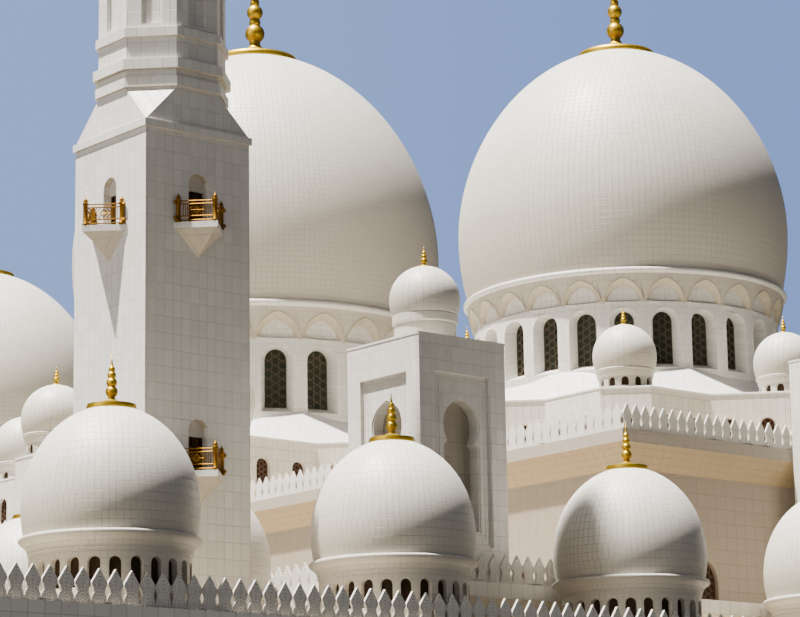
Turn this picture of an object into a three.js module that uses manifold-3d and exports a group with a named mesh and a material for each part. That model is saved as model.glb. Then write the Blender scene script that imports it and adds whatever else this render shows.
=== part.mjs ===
// A domed mosque building as a 1:10 scale model: prayer hall with three great domes, a lower
// hall in front of it, arcades with medium domes, four portal towers and two minarets.
// Lengths are metres of the real building; MM turns them into millimetres of the model.
// +Z is up, the courtyard front faces -X, and the origin is on the underside of the floor,
// on the axis of the middle dome.
import * as THREE from 'three';
import { ConvexGeometry } from 'three/addons/geometries/ConvexGeometry.js';
import { mergeVertices } from 'three/addons/utils/BufferGeometryUtils.js';
import Module from 'manifold-3d';

const wasm = await Module();
wasm.setup();

// Driving dimensions, metres of the real building
const MM = 100;                  // model millimetres for one real metre at 1:10
const SEAT = 0.004;              // clearance between pieces that rest on each other
const DEG = Math.PI / 180;

const FLOOR_TOP = 0.6;
const DOME_SPACING = 47;         // between the axes of the great domes
const MIDDLE_DOME_SCALE = 1.312; // the middle dome against the two outer ones

const HALL = { x: 21, y: 67.75, wall: 1.2, wallTop: 28.1, fasciaFoot: 29.7, top: 30.5, ledge: 1 };
const BAY = { x: 24.6, y: 6.6 };                         // bay under the middle dome, front and back
const HALL_WINDOW = { width: 2.2, sill: 19.2, top: 22.7, pitch: 12.73, arcCentre: 0.4 };
const BACK_WINDOW_SILL = 6;
const LOW_WINDOW = { width: 1.9, sill: 4, top: 12.5 };
const DOORWAY = { width: 4.4, top: 9 };

const LOW = { x: 46.1, y: 75.8, wall: 1, wallTop: 17.1, fasciaFoot: 17.95, top: 18.8, ledge: 0.5 };
const LOW_PARAPET_END = -23.4;   // the parapet runs up to the hall, not beside it

const ARCADE = { width: 9.1, wall: 0.8, wallTop: 14.1, top: 15.0, pitch: 17.9, endX: -95.9, parapet: 1.7 };
const ARCADE_OUT_Y = LOW.y + LOW.ledge + ARCADE.width;   // outer face of the side arcades
const ARCADE_OUT_X = -(LOW.x + LOW.ledge + ARCADE.width);
const WING_INNER_Y = LOW.y + LOW.ledge + 0.1;
const WING_BACK_X = -6.4;
const WING_DOMES_X = [-86.95, -69.05, -51.15, -33.65, -16.1];
const WING_DOME_Y = 80.9;
const FRONT_DOME_X = -51.15;
const FRONT_DOMES_Y = [-62.8, -44.9, -27, -9, 9, 27, 44.9, 62.8];
const ARCADE_ARCH = { width: 4.6, spring: 6.2, top: 9.6 };

const PARAPET = { height: 1.55, thick: 0.34, inset: 0.15 };

// Great dome, sized for the outer ones and scaled up for the middle one
const TIER = { half: 13.9, corner: 17.9, wall: 0.9, slab: 0.5, domeRing: 16 };
const TIER_ROOF = { foot: 14.9, head: 11.9, rise: 2.4 };
const DRUM = { base: 11.35, wall: 10.95, inner: 9.7, neck: 5, roll: 12.4, height: 7.4 };
const DRUM_WINDOW = { count: 24, width: 1.6, sill: 0.45, top: 4.15 };
const DOME = { foot: 11.9, wide: 12.55, wideAt: 5.1, height: 19.7, shell: 0.6 };
const CROWN = { sideCurve: 1.03, riseCurve: 1.06 };   // slight point of a dome against an ellipse
const TIER_TOP = 35.62;
const MIDDLE_TIER_TOP = 37.8;

const SHAFT = { half: 3.4, wall: 0.7, top: 42.1, ledge: 0.4, x: -60.55, y: 72.9 };
const BALCONY = { half: 1.6, reach: 1.76, slab: 0.34, corbel: 1.4, floors: [23.3, 36.65] };
const BALCONY_DOOR = { width: 1.25, height: 2.9, archSteps: 8 };
const OCTAGON = { half: 3.3, foot: 44.2, top: 66 };
const TALL_PANEL = { width: 1.15, foot: 47.85, spring: 60.4, apex: 61.8, depth: 0.25 };
const ROUND_STAGE = { radius: 2.5, gallery: 22 };   // gallery above the octagon's top
const LANTERN_TOP = 98;
const MINARET_TOP = 106;

const TOWER = { half: 3.27, x: -41.3, y: 72.2, top: 33 };
const SIDE_TOWER = { x: -2.9, y: 72.2, top: 36.6 };
const PANEL = { width: 4.1, foot: 2.1, drop: 2.05, depth: 0.35 };
const NICHE = { width: 2.1, bulb: 1.25, foot: 0.9, pinchDrop: 6, apexDrop: 3.6, depth: 1.3 };

// Materials
const marble = (colour) => new THREE.MeshStandardMaterial({ color: colour, roughness: 0.45, metalness: 0 });
const WHITE = 0xece8df;
const WARM = 0xe2dccf;
const ROOF_WHITE = 0xf2f0ea;
const gold = () => new THREE.MeshStandardMaterial({ color: 0xd8a62c, roughness: 0.25, metalness: 1 });
const glass = () => new THREE.MeshStandardMaterial({ color: 0x1d2426, roughness: 0.15, metalness: 0 });

// Solids from three.js geometries

function signedVolume(position, index) {
  let sum = 0;
  const [a, b, c] = [new THREE.Vector3(), new THREE.Vector3(), new THREE.Vector3()];
  for (let i = 0; i < index.length; i += 3) {
    a.fromBufferAttribute(position, index[i]);
    b.fromBufferAttribute(position, index[i + 1]);
    c.fromBufferAttribute(position, index[i + 2]);
    sum += a.dot(b.cross(c));
  }
  return sum;
}

function solid(geometry) {
  const bare = geometry.clone();
  bare.deleteAttribute('normal');
  bare.deleteAttribute('uv');
  const merged = mergeVertices(bare, 1e-5);
  const index = [];
  for (let i = 0; i < merged.index.count; i += 3) {
    const corners = [0, 1, 2].map((n) => merged.index.getX(i + n));
    if (new Set(corners).size === 3) index.push(...corners);
  }
  if (signedVolume(merged.attributes.position, index) < 0) {
    index.reverse();
  }
  const vertProperties = Float32Array.from(merged.attributes.position.array);
  const triVerts = Uint32Array.from(index);
  return new wasm.Manifold(new wasm.Mesh({ numProp: 3, vertProperties, triVerts }));
}

const group = new THREE.Group();

function piece(name, body, material) {
  const mesh = body.getMesh();
  const geometry = new THREE.BufferGeometry();
  geometry.setAttribute('position', new THREE.Float32BufferAttribute(mesh.vertProperties, 3));
  geometry.setIndex([...mesh.triVerts]);
  geometry.scale(MM, MM, MM);
  geometry.computeVertexNormals();
  const object = new THREE.Mesh(geometry, material);
  object.name = name;
  group.add(object);
}

const shapeOf = (points) => new THREE.Shape(points.map(([x, y]) => new THREE.Vector2(x, y)));

function prism(points, z0, z1, holes = []) {
  const shape = shapeOf(points);
  shape.holes = holes.map(shapeOf);
  const geometry = new THREE.ExtrudeGeometry(shape, { depth: z1 - z0, bevelEnabled: false });
  return solid(geometry.translate(0, 0, z0));
}

function box(x0, x1, y0, y1, z0, z1) {
  const geometry = new THREE.BoxGeometry(x1 - x0, y1 - y0, z1 - z0);
  return solid(geometry.translate((x0 + x1) / 2, (y0 + y1) / 2, (z0 + z1) / 2));
}

const hull = (points) => solid(new ConvexGeometry(points.map((p) => new THREE.Vector3(...p))));

function lathe(profile, segments, [x, y, z], turn = 0) {
  const points = profile.map(([radius, height]) => new THREE.Vector2(radius, height));
  const geometry = new THREE.LatheGeometry(points, segments);
  return solid(geometry.rotateX(Math.PI / 2).rotateZ(turn).translate(x, y, z));
}

const joined = (bodies) => bodies.reduce((whole, body) => whole.add(body));
const cutFrom = (whole, bodies) => bodies.reduce((left, body) => left.subtract(body), whole);

const rectangle = (x0, x1, y0, y1) => [[x0, y0], [x1, y0], [x1, y1], [x0, y1]];

function polygon(sides, radius, turn = 0) {
  return Array.from({ length: sides }, (_, i) => {
    const angle = turn + (i * 2 * Math.PI) / sides;
    return [radius * Math.cos(angle), radius * Math.sin(angle)];
  });
}

const moved = (points, dx, dy) => points.map(([x, y]) => [x + dx, y + dy]);

// a rectangle at one height, for hulls
const levelRectangle = (x0, x1, y0, y1, z) => rectangle(x0, x1, y0, y1).map(([x, y]) => [x, y, z]);

// A standing outline (across, up) swept along a level direction, from near to far of an axis
function sweepOut(outline, direction, near, far, [x, y], across = 0) {
  const geometry = new THREE.ExtrudeGeometry(shapeOf(outline), { depth: far - near, bevelEnabled: false });
  geometry.translate(across, 0, near);
  geometry.rotateX(Math.PI / 2);
  geometry.rotateZ(direction + Math.PI / 2);
  return solid(geometry.translate(x, y, 0));
}

// Outlines of openings

function roundArch(width, sill, top, steps = 3) {
  const radius = width / 2;
  const points = [[-radius, sill], [radius, sill]];
  for (let i = 0; i <= steps; i += 1) {
    const angle = (Math.PI * i) / steps;
    points.push([radius * Math.cos(angle), top - radius + radius * Math.sin(angle)]);
  }
  return points;
}

// window with a pointed head of two arcs
function hallWindow(sill, steps = 4) {
  const half = HALL_WINDOW.width / 2;
  const centre = half * HALL_WINDOW.arcCentre;
  const radius = half + centre;
  const rise = Math.sqrt(radius ** 2 - centre ** 2);
  const spring = HALL_WINDOW.top - rise;
  const side = Array.from({ length: steps }, (_, i) => {
    const angle = (i / steps) * Math.acos(centre / radius);
    return [radius * Math.cos(angle) - centre, spring + radius * Math.sin(angle)];
  });
  const mirrored = side.map(([x, z]) => [-x, z]).reverse();
  return [[-half, sill], [half, sill], ...side, [0, HALL_WINDOW.top], ...mirrored];
}

// pointed horseshoe arch standing on straight jambs
function keyholeArch(width, bulb, foot, pinch, apex) {
  const middle = pinch + bulb * 0.85;
  const side = [
    [width / 2, foot],
    [width / 2, pinch],
    [bulb, middle],
    [bulb * 0.86, middle + (apex - middle) * 0.52],
  ];
  const mirrored = side.map(([x, z]) => [-x, z]).reverse();
  return [...side, [0, apex], ...mirrored];
}

const RIGHT = -1;
const LEFT = 1;
const SIDES = [['right', RIGHT], ['left', LEFT]];

// from a to b on the right side, mirrored for the left
const spanY = (side, a, b) => (side === RIGHT ? [-b, -a] : [a, b]);

// Floor under everything that has an inside
function groundFloor() {
  const wing = (side) => {
    const [y0, y1] = spanY(side, LOW.y - 1, ARCADE_OUT_Y);
    return box(ARCADE.endX, WING_BACK_X, y0, y1, 0, FLOOR_TOP);
  };
  const minaretBase = (side) => {
    const [y0, y1] = spanY(side, SHAFT.y - SHAFT.half - 0.4, LOW.y);
    return box(SHAFT.x - SHAFT.half - 0.4, -LOW.x, y0, y1, 0, FLOOR_TOP);
  };
  const floor = joined([
    box(ARCADE_OUT_X, HALL.x, -LOW.y, LOW.y, 0, FLOOR_TOP),
    box(-BAY.x, BAY.x, -BAY.y, BAY.y, 0, FLOOR_TOP),
    wing(RIGHT),
    wing(LEFT),
    minaretBase(RIGHT),
    minaretBase(LEFT),
  ]);
  piece('ground_floor', floor, marble(WARM));
}

// Prayer hall

const windowRow = (count, pitch) => Array.from({ length: count }, (_, i) => (i - (count - 1) / 2) * pitch);

function hallLongWall(name, direction, sill) {
  const foot = FLOOR_TOP + SEAT;
  const face = direction < 0 ? [-HALL.x, -HALL.x + HALL.wall] : [HALL.x - HALL.wall, HALL.x];
  const bay = direction < 0 ? [-BAY.x, -HALL.x + 0.5] : [HALL.x - 0.5, BAY.x];
  const angle = direction < 0 ? Math.PI : 0;
  const along = windowRow(10, HALL_WINDOW.pitch).filter((y) => Math.abs(y) > BAY.y + 2);
  const windows = along.map((y) => sweepOut(hallWindow(sill), angle, HALL.x - 2, HALL.x + 1, [0, 0], y));
  const doorways = direction < 0 ? [-DOME_SPACING, 0, DOME_SPACING] : [0];
  const doors = doorways.map((y) => sweepOut(
    roundArch(DOORWAY.width, FLOOR_TOP - 1, DOORWAY.top), angle, HALL.x - 2, BAY.x + 1, [0, 0], y));
  const wall = box(...face, -HALL.y, HALL.y, foot, HALL.wallTop)
    .add(box(...bay, -BAY.y, BAY.y, foot, HALL.wallTop));
  piece(name, cutFrom(wall, [...windows, ...doors]), marble(WARM));
}

function hallEndWall(name, side) {
  const inner = HALL.x - HALL.wall - SEAT;
  const [y0, y1] = spanY(side, HALL.y - HALL.wall, HALL.y);
  const windows = windowRow(5, 6.9).map((x) => sweepOut(
    hallWindow(HALL_WINDOW.sill), side * Math.PI / 2, HALL.y - 2, HALL.y + 1, [0, 0], x));
  piece(name, cutFrom(box(-inner, inner, y0, y1, FLOOR_TOP + SEAT, HALL.wallTop), windows), marble(WARM));
}

// ledge with an upright fascia over a sloping soffit, round a rectangle
function corniceBlock(x0, x1, y0, y1, size) {
  const out = size.ledge;
  const foot = levelRectangle(x0, x1, y0, y1, size.wallTop + SEAT);
  const fascia = levelRectangle(x0 - out, x1 + out, y0 - out, y1 + out, size.fasciaFoot);
  const top = levelRectangle(x0 - out, x1 + out, y0 - out, y1 + out, size.top);
  return hull([...foot, ...fascia, ...top]);
}

function hallCornice() {
  const block = corniceBlock(-HALL.x, HALL.x, -HALL.y, HALL.y, HALL)
    .add(corniceBlock(-BAY.x, BAY.x, -BAY.y, BAY.y, HALL));
  const seat = HALL.wall - 0.3;
  const inside = box(
    -HALL.x + seat, HALL.x - seat, -HALL.y + seat, HALL.y - seat, HALL.wallTop - 1, HALL.top + 1);
  piece('hall_cornice', block.subtract(inside), marble(WHITE));
}

const DOMES = [
  { name: 'right', y: -DOME_SPACING, k: 1, tierTop: TIER_TOP },
  { name: 'middle', y: 0, k: MIDDLE_DOME_SCALE, tierTop: MIDDLE_TIER_TOP },
  { name: 'left', y: DOME_SPACING, k: 1, tierTop: TIER_TOP },
];

function hallRoof() {
  const edge = HALL.wall - 0.3 + SEAT;
  const outline = rectangle(-HALL.x + edge, HALL.x - edge, -HALL.y + edge, HALL.y - edge);
  const eyes = DOMES.map(({ y, k }) => moved(polygon(12, DRUM.inner * k), 0, y));
  piece('hall_roof', prism(outline, HALL.wallTop + SEAT, HALL.top, eyes), marble(ROOF_WHITE));
}

// band that stands on a ledge, as high as the merlons
function parapetBand(blocks, z) {
  const grown = (grow) => joined(blocks.map(([x0, x1, y0, y1]) => box(
    x0 - grow, x1 + grow, y0 - grow, y1 + grow, z + SEAT, z + PARAPET.height)));
  const outer = -PARAPET.inset;
  return grown(outer).subtract(grown(outer - PARAPET.thick));
}

function hallParapet() {
  const out = HALL.ledge;
  const band = parapetBand([
    [-HALL.x - out, HALL.x + out, -HALL.y - out, HALL.y + out],
    [-BAY.x - out, BAY.x + out, -BAY.y - out, BAY.y + out],
  ], HALL.top);
  piece('hall_parapet', band, marble(WHITE));
}

function hallGlass() {
  const outer = HALL.wall + SEAT;
  const inner = outer + 0.12;
  const outline = (t) => rectangle(-HALL.x + t, HALL.x - t, -HALL.y + t, HALL.y - t);
  const band = prism(outline(outer), HALL_WINDOW.sill - 0.3, HALL_WINDOW.top + 0.3, [outline(inner)]);
  const back = (y0, y1) => box(
    HALL.x - inner, HALL.x - outer, y0, y1, BACK_WINDOW_SILL - 0.3, HALL_WINDOW.sill);
  const reach = HALL.y - outer;
  const panes = [back(-reach, -BAY.y), back(BAY.y, reach)];
  piece('hall_window_glass', joined([band, ...panes]), glass());
}

// Great domes on their star-shaped tiers

// two squares turned against each other, their eight corners cut off
function starOutline(half, corner) {
  const cut = half * Math.SQRT2 - corner;
  const notch = half / Math.cos(22.5 * DEG);
  const points = [];
  for (let i = 0; i < 8; i += 1) {
    const angle = i * 45 * DEG;
    const [c, s] = [Math.cos(angle), Math.sin(angle)];
    points.push([corner * c + cut * s, corner * s - cut * c]);
    points.push([corner * c - cut * s, corner * s + cut * c]);
    points.push([notch * Math.cos(angle + 22.5 * DEG), notch * Math.sin(angle + 22.5 * DEG)]);
  }
  return points;
}

const scaledProfile = (profile, k) => profile.map(([radius, height]) => [radius * k, height * k]);

const SMALL_DOME_PROFILE = [
  [0, -0.1], [1.9, -0.1], [1.9, 1.1], [2.2, 1.5], [2.2, 2.5], [1.5, 4], [0, 4.7],
];

function starTier({ name, y, k, tierTop }) {
  const slabFoot = tierTop - TIER.slab;
  const outline = starOutline(TIER.half * k, TIER.corner * k);
  const inside = starOutline(TIER.half * k - TIER.wall, TIER.corner * k - TIER.wall);
  const walls = prism(moved(outline, 0, y), HALL.top + SEAT, slabFoot - SEAT, [moved(inside, 0, y)]);
  piece(`${name}_star_tier`, walls, marble(WARM));

  const slab = prism(moved(outline, 0, y), slabFoot, tierTop);
  const foot = polygon(8, TIER_ROOF.foot * k, 22.5 * DEG).map(([px, py]) => [px, py + y, slabFoot + 0.1]);
  const head = polygon(8, TIER_ROOF.head * k, 22.5 * DEG);
  const rise = head.map(([px, py]) => [px, py + y, tierTop + TIER_ROOF.rise * k]);
  const ring = Array.from({ length: 8 }, (_, i) => {
    const angle = i * 45 * DEG;
    const at = [TIER.domeRing * k * Math.cos(angle), y + TIER.domeRing * k * Math.sin(angle), tierTop];
    return lathe(scaledProfile(SMALL_DOME_PROFILE, k), 8, at);
  });
  const eye = prism(moved(polygon(12, DRUM.inner * k), 0, y), slabFoot - 1, tierTop + 5);
  const roof = joined([slab, hull([...foot, ...rise]), ...ring]).subtract(eye);
  piece(`${name}_tier_roof`, roof, marble(ROOF_WHITE));
}

const drumFoot = ({ k, tierTop }) => tierTop + TIER_ROOF.rise * k + SEAT;

function drum(dome) {
  const { name, y, k } = dome;
  const z = drumFoot(dome);
  const profile = scaledProfile([
    [DRUM.inner, 0], [DRUM.base, 0], [DRUM.wall, DRUM_WINDOW.sill], [DRUM.wall, DRUM.neck],
    [DRUM.roll, 6.9], [DRUM.roll, DRUM.height], [DRUM.inner, DRUM.height], [DRUM.inner, 0],
  ], k);
  const wall = lathe(profile, DRUM_WINDOW.count, [0, y, z], 7.5 * DEG);
  const windows = Array.from({ length: DRUM_WINDOW.count }, (_, i) => sweepOut(
    roundArch(DRUM_WINDOW.width * k, z + DRUM_WINDOW.sill * k, z + DRUM_WINDOW.top * k),
    i * 15 * DEG, 8.5 * k, 12 * k, [0, y]));
  piece(`${name}_drum`, cutFrom(wall, windows), marble(WHITE));

  const flat = Math.cos(7.5 * DEG);
  const outer = polygon(12, DRUM.inner * k * flat - 0.01);
  const inner = polygon(12, DRUM.inner * k * flat - 0.13);
  const pane = prism(moved(outer, 0, y), z + 0.05, z + (DRUM_WINDOW.top + 0.4) * k, [moved(inner, 0, y)]);
  piece(`${name}_drum_glass`, pane, glass());
}

// bulging shell: narrower at its foot, with a slightly raised crown
function domeOutline(foot, wide, wideAt, height, lowSteps, highSteps) {
  const points = [];
  const sag = wideAt / Math.sqrt(1 - (foot / wide) ** 2);
  for (let i = 0; i < lowSteps; i += 1) {
    const z = (wideAt * i) / lowSteps;
    points.push([wide * Math.sqrt(1 - ((wideAt - z) / sag) ** 2), z]);
  }
  for (let i = 0; i < highSteps; i += 1) {
    const angle = (i * Math.PI) / 2 / highSteps;
    const rise = Math.sin(angle) ** CROWN.riseCurve;
    points.push([wide * Math.cos(angle) ** CROWN.sideCurve, wideAt + (height - wideAt) * rise]);
  }
  return points;
}

function greatDome(dome) {
  const { name, y, k } = dome;
  const z = drumFoot(dome) + DRUM.height * k + SEAT;
  const outer = domeOutline(DOME.foot, DOME.wide, DOME.wideAt, DOME.height, 2, 6);
  const thin = DOME.shell;
  const inner = domeOutline(DOME.foot - thin - 0.6, DOME.wide - thin, DOME.wideAt, DOME.height - thin, 1, 3);
  const profile = [[0, DOME.height], ...outer.reverse(), ...inner, [0, DOME.height - thin]];
  piece(`${name}_great_dome`, lathe(scaledProfile(profile, k), 24, [0, y, z], 7.5 * DEG), marble(WHITE));

  const top = z + DOME.height * k;
  const finial = [
    [0, SEAT], [3, -0.46], [3, -0.3], [1.5, 0.4], [0.6, 1.25], [0.72, 1.9], [0.42, 2.65], [0.58, 3.45],
    [0.34, 4.1], [0.44, 4.7], [0.22, 5.3], [0, 6.9],
  ];
  piece(`${name}_dome_finial`, lathe(scaledProfile(finial, k), 12, [0, y, top]), gold());
}

// Lower hall in front of and beside the prayer hall

function lowerHall() {
  const foot = FLOOR_TOP + SEAT;
  const doors = windowRow(7, 18).map((y) => sweepOut(
    roundArch(ARCADE_ARCH.width, FLOOR_TOP - 1, ARCADE_ARCH.top),
    Math.PI, LOW.x - 3, LOW.x + 2, [0, 0], y));
  const front = box(-LOW.x, -LOW.x + LOW.wall, -LOW.y, LOW.y, foot, LOW.wallTop);
  piece('lower_hall_front_wall', cutFrom(front, doors), marble(WARM));
  for (const [name, side] of SIDES) {
    const [y0, y1] = spanY(side, LOW.y - LOW.wall, LOW.y);
    const wall = box(-LOW.x + LOW.wall + SEAT, HALL.x, y0, y1, foot, LOW.wallTop);
    const windows = windowRow(3, 7.5).map((x) => sweepOut(
      roundArch(LOW_WINDOW.width, LOW_WINDOW.sill, LOW_WINDOW.top),
      side * Math.PI / 2, LOW.y - 2, LOW.y + 1, [0, 0], -side * (x + 8)));
    piece(`${name}_lower_hall_wall`, cutFrom(wall, windows), marble(WARM));
    const [e0, e1] = spanY(side, HALL.y + SEAT, LOW.y - LOW.wall - SEAT);
    piece(`${name}_lower_hall_end`, box(HALL.x - LOW.wall, HALL.x, e0, e1, foot, LOW.wallTop), marble(WARM));
  }
  const around = box(-HALL.x - 0.03, HALL.x + 9, -HALL.y - 0.03, HALL.y + 0.03, 0, 40);
  const bay = box(-BAY.x - 0.03, 0, -BAY.y - 0.03, BAY.y + 0.03, 0, 40);
  const roof = corniceBlock(-LOW.x, HALL.x, -LOW.y, LOW.y, LOW);
  piece('lower_hall_roof', cutFrom(roof, [around, bay]), marble(ROOF_WHITE));

  const out = LOW.ledge;
  const band = parapetBand([[-LOW.x - out, HALL.x + out, -LOW.y - out, LOW.y + out]], LOW.top);
  piece('lower_hall_parapet', band.subtract(box(LOW_PARAPET_END, 99, -99, 99, 0, 40)), marble(WHITE));
}

// Arcades with medium domes

const MEDIUM_DOME_PROFILE = [
  [0, -0.3], [3.98, -0.3], [3.98, 3.0], [4.5, 3.6], [4.23, 3.85], [4.4, 5.25], [4.2, 6.9], [3.5, 8.45],
  [2.25, 9.65], [0, 10.35],
];

function arcadeRoof() {
  const z0 = ARCADE.wallTop + SEAT;
  const wing = (side) => {
    const [y0, y1] = spanY(side, WING_INNER_Y, ARCADE_OUT_Y);
    return box(ARCADE.endX, WING_BACK_X, y0, y1, z0, ARCADE.top);
  };
  const frontX = -LOW.x - LOW.ledge - 0.1;
  const centres = [
    ...WING_DOMES_X.map((x) => [x, -WING_DOME_Y]),
    ...WING_DOMES_X.map((x) => [x, WING_DOME_Y]),
    ...FRONT_DOMES_Y.map((y) => [FRONT_DOME_X, y]),
  ];
  const slab = joined([
    wing(RIGHT),
    wing(LEFT),
    box(ARCADE_OUT_X, frontX, -WING_INNER_Y - 1, WING_INNER_Y + 1, z0, ARCADE.top),
  ]);
  const domes = centres.map(([x, y]) => lathe(MEDIUM_DOME_PROFILE, 10, [x, y, ARCADE.top]));
  piece('arcade_roof_and_domes', joined([slab, ...domes]), marble(WHITE));
}

function arcadeParapet() {
  const wing = (side) => [ARCADE.endX, WING_BACK_X, ...spanY(side, WING_INNER_Y, ARCADE_OUT_Y)];
  const band = (side) => {
    const [x0, x1, y0, y1] = wing(side);
    const out = PARAPET.inset;
    const thick = PARAPET.thick;
    const z1 = ARCADE.top + ARCADE.parapet;
    const edge = side === RIGHT ? [y0 + out, y0 + out + thick] : [y1 - out - thick, y1 - out];
    const court = side === RIGHT ? [y1 - out - thick, y1 - out] : [y0 + out, y0 + out + thick];
    return joined([
      box(x0 + out, x1 - out, ...edge, ARCADE.top + SEAT, z1),
      box(x0 + out, x0 + out + thick, y0 + out, y1 - out, ARCADE.top + SEAT, z1),
      box(x0 + out, SHAFT.x - SHAFT.half - 0.2, ...court, ARCADE.top + SEAT, z1),
    ]);
  };
  piece('right_arcade_parapet', band(RIGHT), marble(WHITE));
  piece('left_arcade_parapet', band(LEFT), marble(WHITE));
  const reach = SHAFT.y - SHAFT.half - 0.2;
  const x0 = ARCADE_OUT_X + PARAPET.inset;
  const court = box(x0, x0 + PARAPET.thick, -reach, reach, ARCADE.top + SEAT, ARCADE.top + ARCADE.parapet);
  piece('court_arcade_parapet', court, marble(WHITE));
}

function arcadeWalls() {
  const foot = FLOOR_TOP + SEAT;
  const outline = keyholeArch(ARCADE_ARCH.width - 0.6, ARCADE_ARCH.width / 2, FLOOR_TOP - 1,
    ARCADE_ARCH.spring, ARCADE_ARCH.top);
  for (const [name, side] of SIDES) {
    const angle = side * Math.PI / 2;
    const arches = (from, to, xs) => xs.map((x) => sweepOut(outline, angle, from, to, [0, 0], -side * x));
    const outerXs = WING_DOMES_X.flatMap((x) => [x - ARCADE.pitch / 4, x + ARCADE.pitch / 4]);
    const [y0, y1] = spanY(side, ARCADE_OUT_Y - ARCADE.wall, ARCADE_OUT_Y);
    const outer = box(ARCADE.endX, WING_BACK_X, y0, y1, foot, ARCADE.wallTop);
    const outerArches = arches(ARCADE_OUT_Y - 2, ARCADE_OUT_Y + 1, outerXs);
    piece(`${name}_arcade_outer_wall`, cutFrom(outer, outerArches), marble(WARM));

    const courtXs = outerXs.filter((x) => x < SHAFT.x - SHAFT.half - ARCADE_ARCH.width / 2);
    const [c0, c1] = spanY(side, WING_INNER_Y, WING_INNER_Y + ARCADE.wall);
    const court = box(ARCADE.endX, SHAFT.x - SHAFT.half - 0.1, c0, c1, foot, ARCADE.wallTop);
    const courtArches = arches(WING_INNER_Y - 1, WING_INNER_Y + 2, courtXs);
    piece(`${name}_arcade_court_wall`, cutFrom(court, courtArches), marble(WARM));

    const [e0, e1] = spanY(side, WING_INNER_Y + ARCADE.wall + SEAT, ARCADE_OUT_Y - ARCADE.wall - SEAT);
    const end = box(ARCADE.endX, ARCADE.endX + ARCADE.wall, e0, e1, foot, ARCADE.wallTop);
    piece(`${name}_arcade_end_wall`, end, marble(WARM));
  }
  const reach = SHAFT.y - SHAFT.half - 0.1;
  const court = box(ARCADE_OUT_X, ARCADE_OUT_X + ARCADE.wall, -reach, reach, foot, ARCADE.wallTop);
  const arches = windowRow(15, 9).map((y) => sweepOut(
    outline, Math.PI, -ARCADE_OUT_X - 2, -ARCADE_OUT_X + 1, [0, 0], y));
  piece('court_arcade_wall', cutFrom(court, arches), marble(WARM));
}

// Minarets

function triangleBalcony(direction, floor, [x, y]) {
  const [ox, oy] = [Math.cos(direction), Math.sin(direction)];
  const at = (out, across, z) => [
    x + ox * (SHAFT.half + out) - oy * across,
    y + oy * (SHAFT.half + out) + ox * across,
    z,
  ];
  const plan = [
    [-0.3, -BALCONY.half], [-0.3, BALCONY.half], [0, BALCONY.half], [BALCONY.reach, 0], [0, -BALCONY.half],
  ];
  const top = plan.map(([out, across]) => at(out, across, floor));
  const under = plan.map(([out, across]) => at(out, across, floor - BALCONY.slab));
  const corbelTop = plan.map(([out, across]) => at(out * 0.9, across * 0.9, floor - BALCONY.slab));
  const corbelFoot = floor - BALCONY.slab - BALCONY.corbel;
  const tip = [at(-0.3, 0, corbelFoot), at(0.02, 0, corbelFoot)];
  return hull([...top, ...under]).add(hull([...corbelTop, ...tip]));
}

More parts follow.
